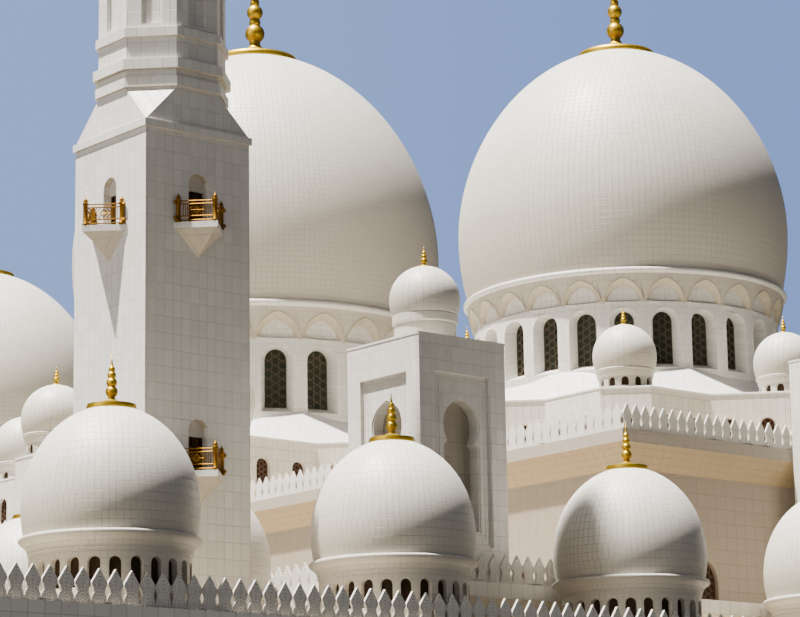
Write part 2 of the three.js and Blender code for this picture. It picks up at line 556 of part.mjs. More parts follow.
function minaret(name, side) {
  const [x, y] = [SHAFT.x, side * SHAFT.y];
  const foot = FLOOR_TOP + SEAT;
  const { half, wall, top, ledge: rim } = SHAFT;
  const inner = half - wall;
  const faces = [0, 90, 180, 270].map((angle) => angle * DEG);
  const shaft = box(x - half, x + half, y - half, y + half, foot, top - rim);
  const ledge = box(x - half - 0.12, x + half + 0.12, y - half - 0.12, y + half + 0.12, top - rim, top);
  const inside = box(x - inner, x + inner, y - inner, y + inner, foot - 1, top - 1);
  const balconies = faces.flatMap(
    (face) => BALCONY.floors.map((floor) => triangleBalcony(face, floor, [x, y])));
  const doors = faces.flatMap((face) => BALCONY.floors.map((floor) => sweepOut(
    roundArch(BALCONY_DOOR.width, floor, floor + BALCONY_DOOR.height, BALCONY_DOOR.archSteps),
    face, inner - 0.5, half + 0.5, [x, y])));
  const body = cutFrom(joined([shaft, ledge, ...balconies]), [inside, ...doors]);
  piece(`${name}_minaret_shaft`, body, marble(WHITE));

  const eight = (radius, z) => polygon(8, radius / Math.cos(22.5 * DEG), 22.5 * DEG)
    .map(([px, py]) => [px + x, py + y, z]);
  const broach = hull([
    ...levelRectangle(x - half, x + half, y - half, y + half, top + SEAT),
    ...eight(OCTAGON.half, OCTAGON.foot),
  ]);
  const stage = hull([...eight(OCTAGON.half, OCTAGON.foot - 0.5), ...eight(OCTAGON.half, OCTAGON.top - 2)]);
  const bands = [[44.27, 44.8, 0.16], [45.25, 45.8, 0.28], [47.1, 47.6, 0.16]].map(([z0, z1, out]) => hull([
    ...eight(OCTAGON.half + out, z0), ...eight(OCTAGON.half + out, z1)]));
  const gallery = hull([
    ...eight(OCTAGON.half, OCTAGON.top - 2),
    ...eight(OCTAGON.half + 1.2, OCTAGON.top - 0.5),
    ...eight(OCTAGON.half + 1.2, OCTAGON.top),
  ]);
  const panelHalf = TALL_PANEL.width / 2;
  const panelOutline = [
    [-panelHalf, TALL_PANEL.foot], [panelHalf, TALL_PANEL.foot], [panelHalf, TALL_PANEL.spring],
    [0, TALL_PANEL.apex], [-panelHalf, TALL_PANEL.spring],
  ];
  const panels = Array.from({ length: 8 }, (_, i) => sweepOut(
    panelOutline, i * 45 * DEG, OCTAGON.half - TALL_PANEL.depth, OCTAGON.half + 1, [x, y]));
  const octagon = cutFrom(joined([broach, stage, ...bands, gallery]), panels);
  piece(`${name}_minaret_octagon`, octagon, marble(WHITE));

  const { radius, gallery: deck } = ROUND_STAGE;
  const round = lathe([
    [0, SEAT], [radius + 0.3, SEAT], [radius + 0.3, 0.8], [radius, 1],
    [radius, deck - 3], [radius + 0.9, deck - 1.4], [radius + 0.9, deck],
    [1.7, deck], [1.7, deck + 5.5], [2, deck + 5.9], [2, deck + 6.3],
    [1.75, deck + 6.4], [2.05, deck + 7.4], [1.5, deck + 8.9], [0, deck + 10],
  ], 8, [x, y, OCTAGON.top]);
  piece(`${name}_minaret_round_stage`, round, marble(WHITE));

  const spire = MINARET_TOP - LANTERN_TOP;
  const finial = lathe([
    [0, SEAT * 2], [0.5, SEAT * 2], [0.5, 0.3], [0.28, 1], [0.62, 1.7], [0.3, 2.4], [0.5, 3.2], [0.22, 3.9],
    [0.34, 4.6], [0.14, 5.2], [0, spire],
  ], 8, [x, y, LANTERN_TOP]);
  piece(`${name}_minaret_finial`, finial, gold());
}

// Portal towers with a keyhole niche in each face and a small dome on top

function tower(name, side, { x, y: fromMiddle, top }) {
  const y = side * fromMiddle;
  const half = TOWER.half;
  const foot = LOW.top + SEAT;
  const faces = [0, 90, 180, 270].map((angle) => angle * DEG);
  const panelOutline = [
    [-PANEL.width / 2, foot + PANEL.foot], [PANEL.width / 2, foot + PANEL.foot],
    [PANEL.width / 2, top - PANEL.drop], [-PANEL.width / 2, top - PANEL.drop],
  ];
  const nicheOutline = keyholeArch(NICHE.width, NICHE.bulb, foot + PANEL.foot + NICHE.foot,
    top - NICHE.pinchDrop, top - NICHE.apexDrop);
  const panels = faces.map((face) => sweepOut(panelOutline, face, half - PANEL.depth, half + 1, [x, y]));
  const niches = faces.map(
    (face) => sweepOut(nicheOutline, face, half - PANEL.depth - NICHE.depth, half + 1, [x, y]));
  const cap = lathe([
    [0, -0.3], [2, -0.3], [2, 2.2], [2.15, 3.1], [1.8, 4.25], [0.9, 4.95], [0, 5.1],
  ], 8, [x, y, top]);
  const inside = box(x - 1.1, x + 1.1, y - 1.1, y + 1.1, foot - 1, top - 1.2);
  const body = joined([box(x - half, x + half, y - half, y + half, foot, top), cap]);
  piece(name, cutFrom(body, [...panels, ...niches, inside]), marble(WHITE));
}

groundFloor();
hallLongWall('hall_front_wall', -1, HALL_WINDOW.sill);
hallLongWall('hall_back_wall', 1, BACK_WINDOW_SILL);
hallEndWall('hall_right_wall', RIGHT);
hallEndWall('hall_left_wall', LEFT);
hallCornice();
hallRoof();
hallParapet();
hallGlass();
for (const dome of DOMES) {
  starTier(dome);
  drum(dome);
  greatDome(dome);
}
lowerHall();
arcadeRoof();
arcadeParapet();
arcadeWalls();
for (const [name, side] of SIDES) {
  minaret(name, side);
  tower(`${name}_front_tower`, side, TOWER);
  tower(`${name}_side_tower`, side, SIDE_TOWER);
}

export default group;
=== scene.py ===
"""Looks of the mosque building: marble, gilding, lattices and all that repeats on it.

Shapes are worked out in metres of the real building and stored as a 1:10 scale model, in the
frame of the plain solids: +Z up, courtyard front towards -X, middle dome on the Z axis.
"""
import math

import bmesh
import bpy
from mathutils import Matrix, Vector
from mathutils.geometry import tessellate_polygon


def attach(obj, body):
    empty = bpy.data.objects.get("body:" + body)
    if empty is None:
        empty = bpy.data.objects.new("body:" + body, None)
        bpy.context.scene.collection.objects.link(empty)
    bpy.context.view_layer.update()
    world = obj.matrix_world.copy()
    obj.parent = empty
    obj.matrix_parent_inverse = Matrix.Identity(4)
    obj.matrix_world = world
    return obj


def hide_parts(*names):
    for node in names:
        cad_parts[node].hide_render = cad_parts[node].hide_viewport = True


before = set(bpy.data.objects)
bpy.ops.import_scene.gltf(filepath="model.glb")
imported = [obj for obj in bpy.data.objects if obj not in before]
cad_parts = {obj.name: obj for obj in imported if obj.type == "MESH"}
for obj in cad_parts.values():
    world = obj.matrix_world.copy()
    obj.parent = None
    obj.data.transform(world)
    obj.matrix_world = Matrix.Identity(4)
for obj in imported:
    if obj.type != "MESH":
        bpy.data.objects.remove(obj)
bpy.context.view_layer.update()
scene = bpy.context.scene

MODEL = 0.1                      # model metres for one real metre
TURN = 2 * math.pi
SIDES = {"right": -1, "left": 1}  # the sides of the building, as signs of Y

# Sizes in metres of the real building; a dome's size is its share of the outer domes' size
DOMES = {
    "right": {"y": -47.0, "size": 1.0, "tier_top": 35.62},
    "middle": {"y": 0.0, "size": 1.312, "tier_top": 37.8},
    "left": {"y": 47.0, "size": 1.0, "tier_top": 35.62},
}
HALL_X, HALL_Y, HALL_LEDGE, HALL_TOP = 21.0, 67.75, 1.0, 30.5
BAY_X, BAY_Y = 24.6, 6.6
LOW_X, LOW_Y, LOW_LEDGE, LOW_TOP = 46.1, 75.8, 0.5, 18.8
LOW_PARAPET_END = -23.4
WALL_GAP = 0.1                   # between the lower hall's ledge and the roof of the arcades
ARCADE_WIDTH, ARCADE_WALL_TOP, ARCADE_TOP = 9.1, 14.1, 15.0
ARCADE_END_X, WING_BACK_X = -95.9, -6.4
ARCADE_OUT_X = -(LOW_X + LOW_LEDGE + ARCADE_WIDTH)
ARCADE_OUT_Y = LOW_Y + LOW_LEDGE + ARCADE_WIDTH
WING_INNER_Y = LOW_Y + LOW_LEDGE + WALL_GAP
WING_DOMES_X, WING_DOME_Y = (-86.95, -69.05, -51.15, -33.65, -16.1), 80.9
FRONT_DOME_X, FRONT_DOMES_Y = -51.15, (-62.8, -44.9, -27.0, -9.0, 9.0, 27.0, 44.9, 62.8)
SLAB_WIDTH, SLAB_COURSE = 0.55, 0.9

HALL_WINDOW_HALF, HALL_WINDOW_SILL, HALL_WINDOW_TOP = 1.1, 19.2, 22.7
HALL_WINDOW_PITCH, HALL_END_PITCH, BACK_WINDOW_SILL = 12.73, 6.9, 6.0
HALL_ARC_CENTRE = 0.4            # how far the arcs of the pointed head cross, in half widths

TIER_HALF, TIER_CORNER, TIER_WALL, TIER_RING = 13.9, 17.9, 0.9, 16.0
TIER_WINDOW_SILL, TIER_WINDOW_FRAME, TIER_WINDOW_DEPTH = 0.5, 0.1, 0.32
OUTER_WINDOW_DROP, MIDDLE_WINDOW_DROP = 1.75, 1.6625   # window tops below the tops of the tiers
CHAMFER_WINDOW_HALF, SIDE_WINDOW_HALF = 0.72, 0.46
COPING = 0.15                    # thin edge that the roof of a tier shows
ROOF_FOOT, ROOF_HEAD, ROOF_RISE, ROOF_SLAB = 14.9, 11.9, 2.4, 0.9

DRUM_WALL, DRUM_INNER, DRUM_HEIGHT, DRUM_BAYS, DRUM_SLAB = 11.5, 10.3, 7.4, 24, 0.46
DRUM_FOOT = -0.7                 # below the head of the sloping roof
NECK_FOOT, NECK_TOP, NECK_REACH, NECK_CURVE = 4.95, 6.95, 12.02, 0.6
WINDOW_OUTER, WINDOW_INNER = (1.05, 0.14, 4.5), (0.77, 0.55, 4.38)   # half width, sill and top
WINDOW_DEPTH, LATTICE_DEPTH, PANE_DEPTH = 0.95, 1.0, 1.02
BLIND_DEPTH, BLIND_FOOT, BLIND_TOP, BLIND_DEEP_TOP = 0.16, NECK_FOOT + 0.04, 6.6, 6.25
BLIND_SHARE, BLIND_DEEP_SHARE = 0.95, 0.82   # widths of the blind arch in a bay, in front and deep
DOME_FOOT, DOME_WIDE, DOME_WIDE_AT, DOME_HEIGHT, DOME_SHELL = 11.9, 12.55, 5.1, 19.7, 0.6
GREAT_CROWN = (1.03, 1.06)       # powers that give the great domes their slight point
# The other domes: foot radius, widest radius, height of the widest part and whole height
SMALL_DOME, MEDIUM_DOME = (2.04, 2.24, 1.05, 3.32), (4.22, 4.4, 1.45, 6.6)
TOWER_DOME, LANTERN_DOME = (1.93, 2.1, 0.95, 3.04), (1.8, 2.05, 0.95, 3.65)
GREAT_SEGMENTS, SMALL_SEGMENTS = 144, 64

PARAPET_THICK, PARAPET_INSET = 0.34, 0.15
# Pitch, height and thickness of the merlons
HALL_MERLON, LOW_MERLON = (0.84, 1.75, 0.14), (0.865, 1.7, 0.14)
ARCADE_MERLON, GALLERY_MERLON = (0.9085, 1.7, 0.15), (0.84, 1.3, 0.22)

SHAFT_HALF, SHAFT_X, SHAFT_Y = 3.4, -60.55, 72.9
SHAFT_CLEARANCE = 0.2            # between a minaret shaft and the merlons that end at it
BALCONY_HALF, BALCONY_REACH, BALCONY_FLOORS = 1.6, 1.76, (23.3, 36.65)
BALCONY_DOOR_HALF, BALCONY_DOOR_TOP, DOOR_LEAF_TOP = 0.625, 2.9, 2.0
OCTAGON_HALF, OCTAGON_TOP, DECK_RISE, LANTERN_TOP = 3.3, 66.0, 22.0, 98.0
GALLERY_REACH, COLUMN_RING, RAIL_RING = 1.0, 1.72, 3.2
TOWERS = {"front_tower": (-41.3, 72.2, 33.0), "side_tower": (-2.9, 72.2, 36.6)}
TOWER_HALF, PANEL_HALF, PANEL_RISE, PANEL_DROP, PANEL_DEPTH = 3.27, 2.12, 2.1, 2.15, 0.22
NICHE_HALF, NICHE_RISE, NICHE_DROP, NICHE_DEPTH = 1.26, 3.0, 3.6, 1.0
LIP_WIDTH, LIP_DEPTH, TOWER_FINIAL_RISE = 0.1, 0.28, 4.83
BEVEL = 0.02                     # how far a panel or a pane stands in from its frame


# Node trees written as expressions

class Bench:
    """A node tree that is being built."""

    def __init__(self, tree):
        self.tree = tree

    def feed(self, socket, value):
        if isinstance(value, Wire):
            self.tree.links.new(value.socket, socket)
        else:
            socket.default_value = value

    def add(self, kind, sockets=None, output=0, **settings):
        node = self.tree.nodes.new(kind)
        for name, value in settings.items():
            setattr(node, name, value)
        for key, value in (sockets or {}).items():
            self.feed(node.inputs[key], value)
        return Wire(self, node.outputs[output])

    def math(self, operation, *values):
        return self.add("ShaderNodeMath", dict(enumerate(values)), operation=operation)

    def vector(self, x, y, z):
        return self.add("ShaderNodeCombineXYZ", {"X": x, "Y": y, "Z": z})

    def blend(self, share, first, second):
        """Colour between two colours."""
        return self.add("ShaderNodeMix", {0: share, 6: first, 7: second}, 2, data_type="RGBA")

    def smooth(self, value, low, high):
        """0 below low, 1 above high, smooth between."""
        sockets = {"Value": value, "From Min": low, "From Max": high}
        return self.add("ShaderNodeMapRange", sockets, interpolation_type="SMOOTHSTEP")

    def noise(self, place, scale, detail=3.0):
        return self.add("ShaderNodeTexNoise", {"Vector": place, "Scale": scale, "Detail": detail})

    def chance(self, cell):
        """A random number for each whole-numbered cell."""
        return self.add("ShaderNodeTexWhiteNoise", {"Vector": cell})

    def coordinate(self, kind):
        """Object place or Normal of the point that is shaded; Generated is the world's direction."""
        return self.add("ShaderNodeTexCoord").of(kind)

    def slab_place(self):
        """Place on the piece's own map, where each whole step is one slab."""
        across, up, _ = self.add("ShaderNodeUVMap", uv_map="UVMap").parts()
        return across, up

    def shape_of(self, body):
        return self.add("GeometryNodeObjectInfo", {"Object": body}).of("Geometry")


class Wire:
    """A socket of a node tree. Sums and products of wires add Math nodes."""

    def __init__(self, bench, socket):
        self.bench = bench
        self.socket = socket

    def of(self, output):
        return Wire(self.bench, self.socket.node.outputs[output])

    def __add__(self, other):
        return self.bench.math("ADD", self, other)

    def __sub__(self, other):
        return self.bench.math("SUBTRACT", self, other)

    def __mul__(self, other):
        return self.bench.math("MULTIPLY", self, other)

    def __truediv__(self, other):
        return self.bench.math("DIVIDE", self, other)

    def __rsub__(self, other):
        return self.bench.math("SUBTRACT", other, self)

    def __rtruediv__(self, other):
        return self.bench.math("DIVIDE", other, self)

    __radd__ = __add__
    __rmul__ = __mul__

    def parts(self):
        split = self.bench.add("ShaderNodeSeparateXYZ", {0: self})
        return split, split.of("Y"), split.of("Z")

    def floor(self):
        return self.bench.math("FLOOR", self)

    def size(self):
        return self.bench.math("ABSOLUTE", self)

    def above(self, limit):
        return self.bench.math("GREATER_THAN", self, limit)

    def larger(self, other):
        return self.bench.math("MAXIMUM", self, other)

    def to_joint(self):
        """Distance to the nearest whole number."""
        return (self - self.bench.math("ROUND", self)).size()


# Finishes

def paint(*colours):
    """Colours with their alpha."""
    return tuple((*colour, 1.0) for colour in colours)


# Two tones of each stone, which its slabs and clouds vary between
WHITE = paint((0.81, 0.785, 0.735), (0.69, 0.665, 0.615))
DOME_WHITE = paint((0.83, 0.80, 0.745), (0.74, 0.71, 0.65))
ROOF_WHITE = paint((0.84, 0.83, 0.80), (0.77, 0.76, 0.72))
TIER_WHITE = paint((0.78, 0.74, 0.68), (0.68, 0.64, 0.58))
# Painted shade: the neck of a great drum takes a darker, warmer tone than its marble has, for the shade under
# the dome.
NECK_SHADE = paint((0.58, 0.53, 0.44), (0.53, 0.48, 0.39))
# Painted shade with warm bounce light: the reveals and ribs of the blind arches are tan.
RIB_SHADE = paint((0.54, 0.47, 0.34), (0.50, 0.43, 0.31))
# Painted shade: the backs of the tower niches are dark, for the shade deep inside them.
NICHE_SHADE = paint((0.40, 0.355, 0.28), (0.36, 0.315, 0.245))
# Painted shade: the hall's cornice takes a dark tone, standing in for the shade of its carving, which is not
# modelled.
CORNICE_RELIEF_SHADE = paint((0.40, 0.355, 0.29), (0.375, 0.33, 0.27))
# Painted shade: this dark warm tone darkens the hall's walls, standing in for their shade and warm bounce
# light; the floor stone reuses it.
WARM_SHADE_TONE = paint((0.345, 0.29, 0.225), (0.335, 0.28, 0.217))
PAVING = paint((0.60, 0.53, 0.42), (0.54, 0.475, 0.375))
# Painted shade: the last of these three tones darkens and warms the downward faces of domes.
# Painted shade: the middle tone darkens the carved grooves of merlons.
JOINT, GROOVE_SHADE, DOME_LOW_SHADE = paint((0.42, 0.38, 0.32), (0.36, 0.31, 0.25), (0.52, 0.48, 0.41))
# Painted shade with warm bounce light: these tones darken and warm the faces that look down.
UNDERSIDE_SHADE, CORNICE_UNDERSIDE_SHADE = paint((0.58, 0.50, 0.38), (0.37, 0.275, 0.15))
LEVEL_LIMIT = 0.8                # upward share of a normal past which a face counts as level
SLAB_TONE, CLOUD_TONE, VEIN_TONE = 0.62, 0.5, 0.12   # how much each of them changes the stone


def finish(name, metallic=0.0, specular=0.5):
    material = bpy.data.materials.new(name)
    material.use_nodes = True
    shader = material.node_tree.nodes["Principled BSDF"]
    shader.inputs["Metallic"].default_value = metallic
    shader.inputs["Specular IOR Level"].default_value = specular
    return material, shader, Bench(material.node_tree)


def dress(bench, shader, colour, roughness, height, depth):
    """Colour, roughness and relief on one shader."""
    bench.feed(shader.inputs["Base Color"], colour)
    bench.feed(shader.inputs["Roughness"], roughness)
    relief = bench.add("ShaderNodeBump", {"Strength": 1.0, "Distance": depth, "Height": height})
    bench.feed(shader.inputs["Normal"], relief)


def slabs(bench, across, up, joint_across, joint_up):
    """Joint mask and random number of marble slabs, one slab for each whole step."""
    line_across = 1 - bench.smooth(across.to_joint(), joint_across * 0.4, joint_across)
    line_up = 1 - bench.smooth(up.to_joint(), joint_up * 0.4, joint_up)
    chance = bench.chance(bench.vector(across.floor(), up.floor(), 3.0))
    return line_across.larger(line_up), chance


def marble_look(bench, shader, stone, joint, chance, joint_share, low_shade=None):
    """Clouded marble slabs, with painted shade: the colour turns darker and warmer on faces that look down.
    """
    light, dark = stone
    place = bench.coordinate("Object")
    cloud = bench.noise(place, scale=3.5, detail=4.0)
    vein = 1 - bench.smooth((bench.noise(place, scale=7.0, detail=5.0) - 0.5).size(), 0.0, 0.035)
    tone = chance * SLAB_TONE + cloud * CLOUD_TONE - 0.12 - vein * VEIN_TONE
    colour = bench.blend(tone, dark, light)
    # Painted shade: the colour turns darker and warmer as the face turns down.
    if low_shade:
        _, _, rise = bench.coordinate("Normal").parts()
        facing_up = bench.smooth(rise + cloud * 0.1, -0.25, 0.85)
        colour = bench.blend(facing_up, low_shade, colour)
    colour = bench.blend(joint * joint_share, colour, JOINT)
    roughness = 0.4 + cloud * 0.18 + joint * 0.3
    height = bench.noise(place, scale=60.0) * 0.06 - joint + chance * 0.12
    dress(bench, shader, colour, roughness, height, depth=0.0022)


def tiled_marble(name, stone, joint_width, joint_share, low_shade=None):
    """Marble tiles that follow the surface, one for each whole step of the piece's own map."""
    material, shader, bench = finish(name)
    across, up = bench.slab_place()
    joint, chance = slabs(bench, across, up, joint_width, joint_width)
    marble_look(bench, shader, stone, joint, chance, joint_share, low_shade)
    return material


def coursed_marble(name, slab_width, course, stone, joint_share, underside_shade=None, paving=None):
    """Marble slabs in level courses on flat walls; level faces may have their own paving stone, and faces
    that look down take painted warm shade.
    """
    material, shader, bench = finish(name)
    x, y, z = bench.coordinate("Object").parts()
    nx, ny, nz = bench.coordinate("Normal").parts()
    faces_y = (ny.size() - nx.size()).above(0.0)
    level = nz.size().above(LEVEL_LIMIT)
    along = x * faces_y + y * (1 - faces_y)
    sideways = along * (1 - level) + y * level
    up = z * (1 - level) + (x + y * faces_y - x * faces_y) * level
    across, rows = sideways / (slab_width * MODEL), up / (course * MODEL)
    joint, chance = slabs(bench, across, rows, 0.03, 0.02)
    # Painted shade: faces that look down blend into a darker, warm tone.
    if underside_shade:
        facing_down = 1 - bench.smooth(nz, -0.5, -0.12)
        stone = [bench.blend(facing_down, tone, underside_shade) for tone in stone]
    if paving:
        stone = [bench.blend(nz.above(LEVEL_LIMIT), tone, paved) for tone, paved in zip(stone, paving)]
    marble_look(bench, shader, stone, joint, chance, joint_share)
    return material


def gilding(name, colour, dull, polish=0.2, metallic=1.0):
    material, shader, bench = finish(name, metallic)
    place = bench.coordinate("Object")
    cloud = bench.noise(place, 9.0, 4.0)
    patina = bench.blend(bench.smooth(cloud, 0.45, 0.75) * 0.6, *paint(colour, dull))
    dress(bench, shader, patina, polish + cloud * 0.16, bench.noise(place, 45.0), 0.0012)
    return material


def dark_pane(name, colour, cloudy):
    material, shader, bench = finish(name, specular=0.08)
    place = bench.coordinate("Object")
    cloud = bench.noise(place, 5.0)
    tint = bench.blend(cloud, *paint(colour, cloudy))
    dress(bench, shader, tint, 0.42 + cloud * 0.15, bench.noise(place, 12.0), 0.0008)
    return material


def scrolled_marble(name, stone):
    """Marble carved with leaves that fan out from two centres; its map is one merlon wide and high."""
    material, shader, bench = finish(name)
    light, dark = stone
    across, up = bench.slab_place()
    rings = []
    for centre, growth, leaves in ((0.16, 6.5, 6.0), (0.60, 7.5, 7.0)):
        rise = (up - centre) * 1.5
        spread = bench.math("POWER", across * across + rise * rise, 0.5)
        turn = bench.math("ARCTAN2", across.size(), rise) / TURN
        petals = (spread * growth).to_joint() + (turn * leaves * 2.0).to_joint() * 0.8
        rings.append(1 - bench.smooth(petals, 0.1, 0.34))
    groove = rings[0].larger(rings[1])
    edge = bench.smooth(across.size() - up * 0.02, 0.5, 0.53)
    cloud = bench.noise(bench.coordinate("Object"), 5.0, 4.0)
    # Painted shade: the carved grooves are darkened.
    colour = bench.blend(groove * 0.3, bench.blend(cloud, dark, light), GROOVE_SHADE)
    dress(bench, shader, colour, 0.45 + cloud * 0.15, 0.0 - groove - edge, 0.004)
    return material


# The dome marbles take painted shade on their downward faces.
dome_tiles = tiled_marble("dome_marble_tiles", DOME_WHITE, 0.038, 0.42, DOME_LOW_SHADE)
medium_tiles = tiled_marble("medium_dome_marble", DOME_WHITE, 0.034, 0.18, DOME_LOW_SHADE)
smooth_dome = tiled_marble("small_dome_marble", DOME_WHITE, 0.03, 0.14, DOME_LOW_SHADE)
drum_tiles = tiled_marble("drum_marble_slabs", WHITE, 0.04, 0.35)
neck_shade_stone = tiled_marble("neck_painted_shade", NECK_SHADE, 0.04, 0.25)
rib_shade_stone = tiled_marble("rib_painted_shade", RIB_SHADE, 0.03, 0.1)
tower_tiles = tiled_marble("tower_marble_slabs", WHITE, 0.03, 0.3)
niche_shade_stone = tiled_marble("niche_shade_stone", NICHE_SHADE, 0.03, 0.15)
tier_stone = tiled_marble("tier_marble", TIER_WHITE, 0.03, 0.6)
roof_tiles = tiled_marble("roof_tiles", ROOF_WHITE, 0.02, 0.35)
carved_marble = scrolled_marble("carved_marble", WHITE)
wall_marble = coursed_marble("wall_marble", SLAB_WIDTH, SLAB_COURSE, WHITE, 0.28, UNDERSIDE_SHADE)
# Painted shade: the hall's walls are darkened and warmed.
hall_marble = coursed_marble("hall_marble", 0.9, SLAB_COURSE, WARM_SHADE_TONE, 0.02)
cornice_shaded_marble = coursed_marble("cornice_shaded_marble", 0.9, 0.42, CORNICE_RELIEF_SHADE, 0.12, CORNICE_UNDERSIDE_SHADE)
flat_roof = coursed_marble("flat_roof_paving", ROOF_SLAB, ROOF_SLAB, WHITE, 0.42, UNDERSIDE_SHADE, PAVING)
floor_stone = coursed_marble("floor_stone", 1.2, 1.2, WARM_SHADE_TONE, 0.42)
gold = gilding("gilded_metal", (0.58, 0.38, 0.025), (0.36, 0.2, 0.012), 0.36)
rail_gold = gilding("gilded_rails", (0.24, 0.115, 0.012), (0.15, 0.065, 0.008), 0.42)
bronze = gilding("window_bronze", (0.10, 0.075, 0.045), (0.06, 0.045, 0.03), 0.5, 0.0)
frame_brown = gilding("window_frame", (0.09, 0.042, 0.024), (0.06, 0.028, 0.016), 0.5, 0.0)
door_brown = gilding("door_bronze", (0.10, 0.045, 0.025), (0.05, 0.024, 0.014))
drum_pane = dark_pane("drum_window_glass", (0.014, 0.017, 0.012), (0.04, 0.045, 0.032))
pane = dark_pane("dark_glass", (0.02, 0.012, 0.007), (0.05, 0.032, 0.018))


# Bodies

BLANK = (0.5, 0.5)               # middle of a slab, for faces that show no joints


def link(name, data):
    body = bpy.data.objects.new(name, data)
    scene.collection.objects.link(body)
    return body


def duplicate(body):
    return link("copy", body.data.copy())


def discard(*helpers):
    for helper in helpers:
        bpy.data.objects.remove(helper)


def joined(name, bodies):
    """One body from several, with their materials kept."""
    with bpy.context.temp_override(active_object=bodies[0], object=bodies[0],
                                   selected_objects=bodies, selected_editable_objects=bodies):
        bpy.ops.object.join()
    bodies[0].name = name
    bodies[0].data.name = name
    return bodies[0]


def piece(body, slot, *nodes):
    """Puts a finished body on the building, in place of the plain solids that are named."""
    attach(body, "root")
    if nodes:
        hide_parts(*nodes)


class Shell:
    """Faces in metres of the real building, with a place on the slab map at each corner."""

    def __init__(self):
        self.points = []
        self.faces = []
        self.slab_map = []

    def face(self, corners, slab_map=None):
        start = len(self.points)
        self.points.extend(corners)
        self.faces.append(range(start, start + len(corners)))
        self.slab_map.extend(slab_map or [BLANK] * len(corners))

    def body(self, name, material):
        mesh = bpy.data.meshes.new(name)
        mesh.from_pydata([Vector(p) * MODEL for p in self.points], [], self.faces)
        layer = mesh.uv_layers.new(name="UVMap")
        layer.data.foreach_set("uv", [value for pair in self.slab_map for value in pair])
        mesh.materials.append(material)
        weld(mesh)
        return link(name, mesh)


def weld(mesh, sharp=35.0):
    """Joins corners that meet and shades the body smooth between its sharp edges."""
    work = bmesh.new()
    work.from_mesh(mesh)
    bmesh.ops.remove_doubles(work, verts=work.verts, dist=0.00005)
    bmesh.ops.dissolve_degenerate(work, edges=work.edges, dist=0.00002)
    work.to_mesh(mesh)
    work.free()
    mesh.shade_smooth()
    mesh.set_sharp_from_angle(angle=math.radians(sharp))


# Geometry trees for what is turned, repeated or follows a path

def geometry_tree(name, inputs):
    tree = bpy.data.node_groups.new(name, "GeometryNodeTree")
    tree.interface.new_socket("Geometry", in_out="OUTPUT", socket_type="NodeSocketGeometry")
    for label, kind in inputs.items():
        tree.interface.new_socket(label, in_out="INPUT", socket_type="NodeSocket" + kind)
    bench = Bench(tree)
    given = bench.add("NodeGroupInput")
    return tree, bench, {label: given.of(label) for label in inputs}


def close_tree(bench, geometry, material):
    loose = bench.add("GeometryNodeRealizeInstances", {"Geometry": geometry})
    dressed = bench.add("GeometryNodeSetMaterial", {"Geometry": loose, "Material": material})
    out = bench.tree.nodes.new("NodeGroupOutput")
    bench.feed(out.inputs["Geometry"], dressed)


def grown(name, tree, settings, sharp=35.0):
    """The plain mesh that a geometry tree makes from these settings."""
    body = link(name, bpy.data.meshes.new(name))
    modifier = body.modifiers.new("make", "NODES")
    modifier.node_group = tree
    for item in tree.interface.items_tree:
        if item.in_out == "INPUT":
            modifier[item.identifier] = settings[item.name]
    graph = bpy.context.evaluated_depsgraph_get()
    mesh = bpy.data.meshes.new_from_object(
        body.evaluated_get(graph), preserve_all_data_layers=True, depsgraph=graph)
    body.modifiers.clear()
    body.data = mesh
    weld(mesh, sharp)
    return body


def turned_tree():
    """A profile turned about an upright axis, with whole tiles counted round each course."""
    inputs = {"Profile": "Object", "Segments": "Int", "Tile Width": "Float", "Tile Group": "Int",
              "Centre": "Vector", "Finish": "Material"}
    tree, bench, given = geometry_tree("turned body", inputs)
    profile = bench.shape_of(given["Profile"])
    count = bench.add("GeometryNodeAttributeDomainSize", {0: profile}, component="MESH")
    last = count - 1
    sheet = bench.add("GeometryNodeMeshGrid", {
        "Size X": 1.0, "Size Y": 1.0, "Vertices X": given["Segments"] + 1, "Vertices Y": count})
    around, along, _ = sheet.of("UV Map").parts()

    def profile_point(row):
        where = bench.add("GeometryNodeInputPosition")
        sockets = {"Geometry": profile, "Value": where, "Index": row}
        return bench.add("GeometryNodeSampleIndex", sockets, data_type="FLOAT_VECTOR").parts()

    row = (bench.add("GeometryNodeFieldOnDomain", {0: along}, domain="FACE") * last).floor()
    ring = (profile_point(row)[0] + profile_point(row + 1)[0]) * (math.pi / given["Tile Width"])
    tiles = bench.math("ROUND", ring / given["Tile Group"]).larger(1.0) * given["Tile Group"]
    slab_place = bench.vector(around * tiles, along * last, 0.0)
    mapped = bench.add("GeometryNodeStoreNamedAttribute",
                       {"Geometry": sheet, "Name": "UVMap", "Value": slab_place},
                       data_type="FLOAT2", domain="CORNER")

    radius, _, height = profile_point(bench.math("ROUND", along * last))
    angle = around * TURN
    place = bench.vector(radius * bench.math("COSINE", angle), radius * bench.math("SINE", angle), height)
    placed = bench.add("ShaderNodeVectorMath", {0: place, 1: given["Centre"]}, operation="ADD")
    shaped = bench.add("GeometryNodeSetPosition", {"Geometry": mapped, "Position": placed})
    closed = bench.add("GeometryNodeMergeByDistance", {"Geometry": shaped, "Distance": 0.00005})
    close_tree(bench, closed, given["Finish"])
    return tree


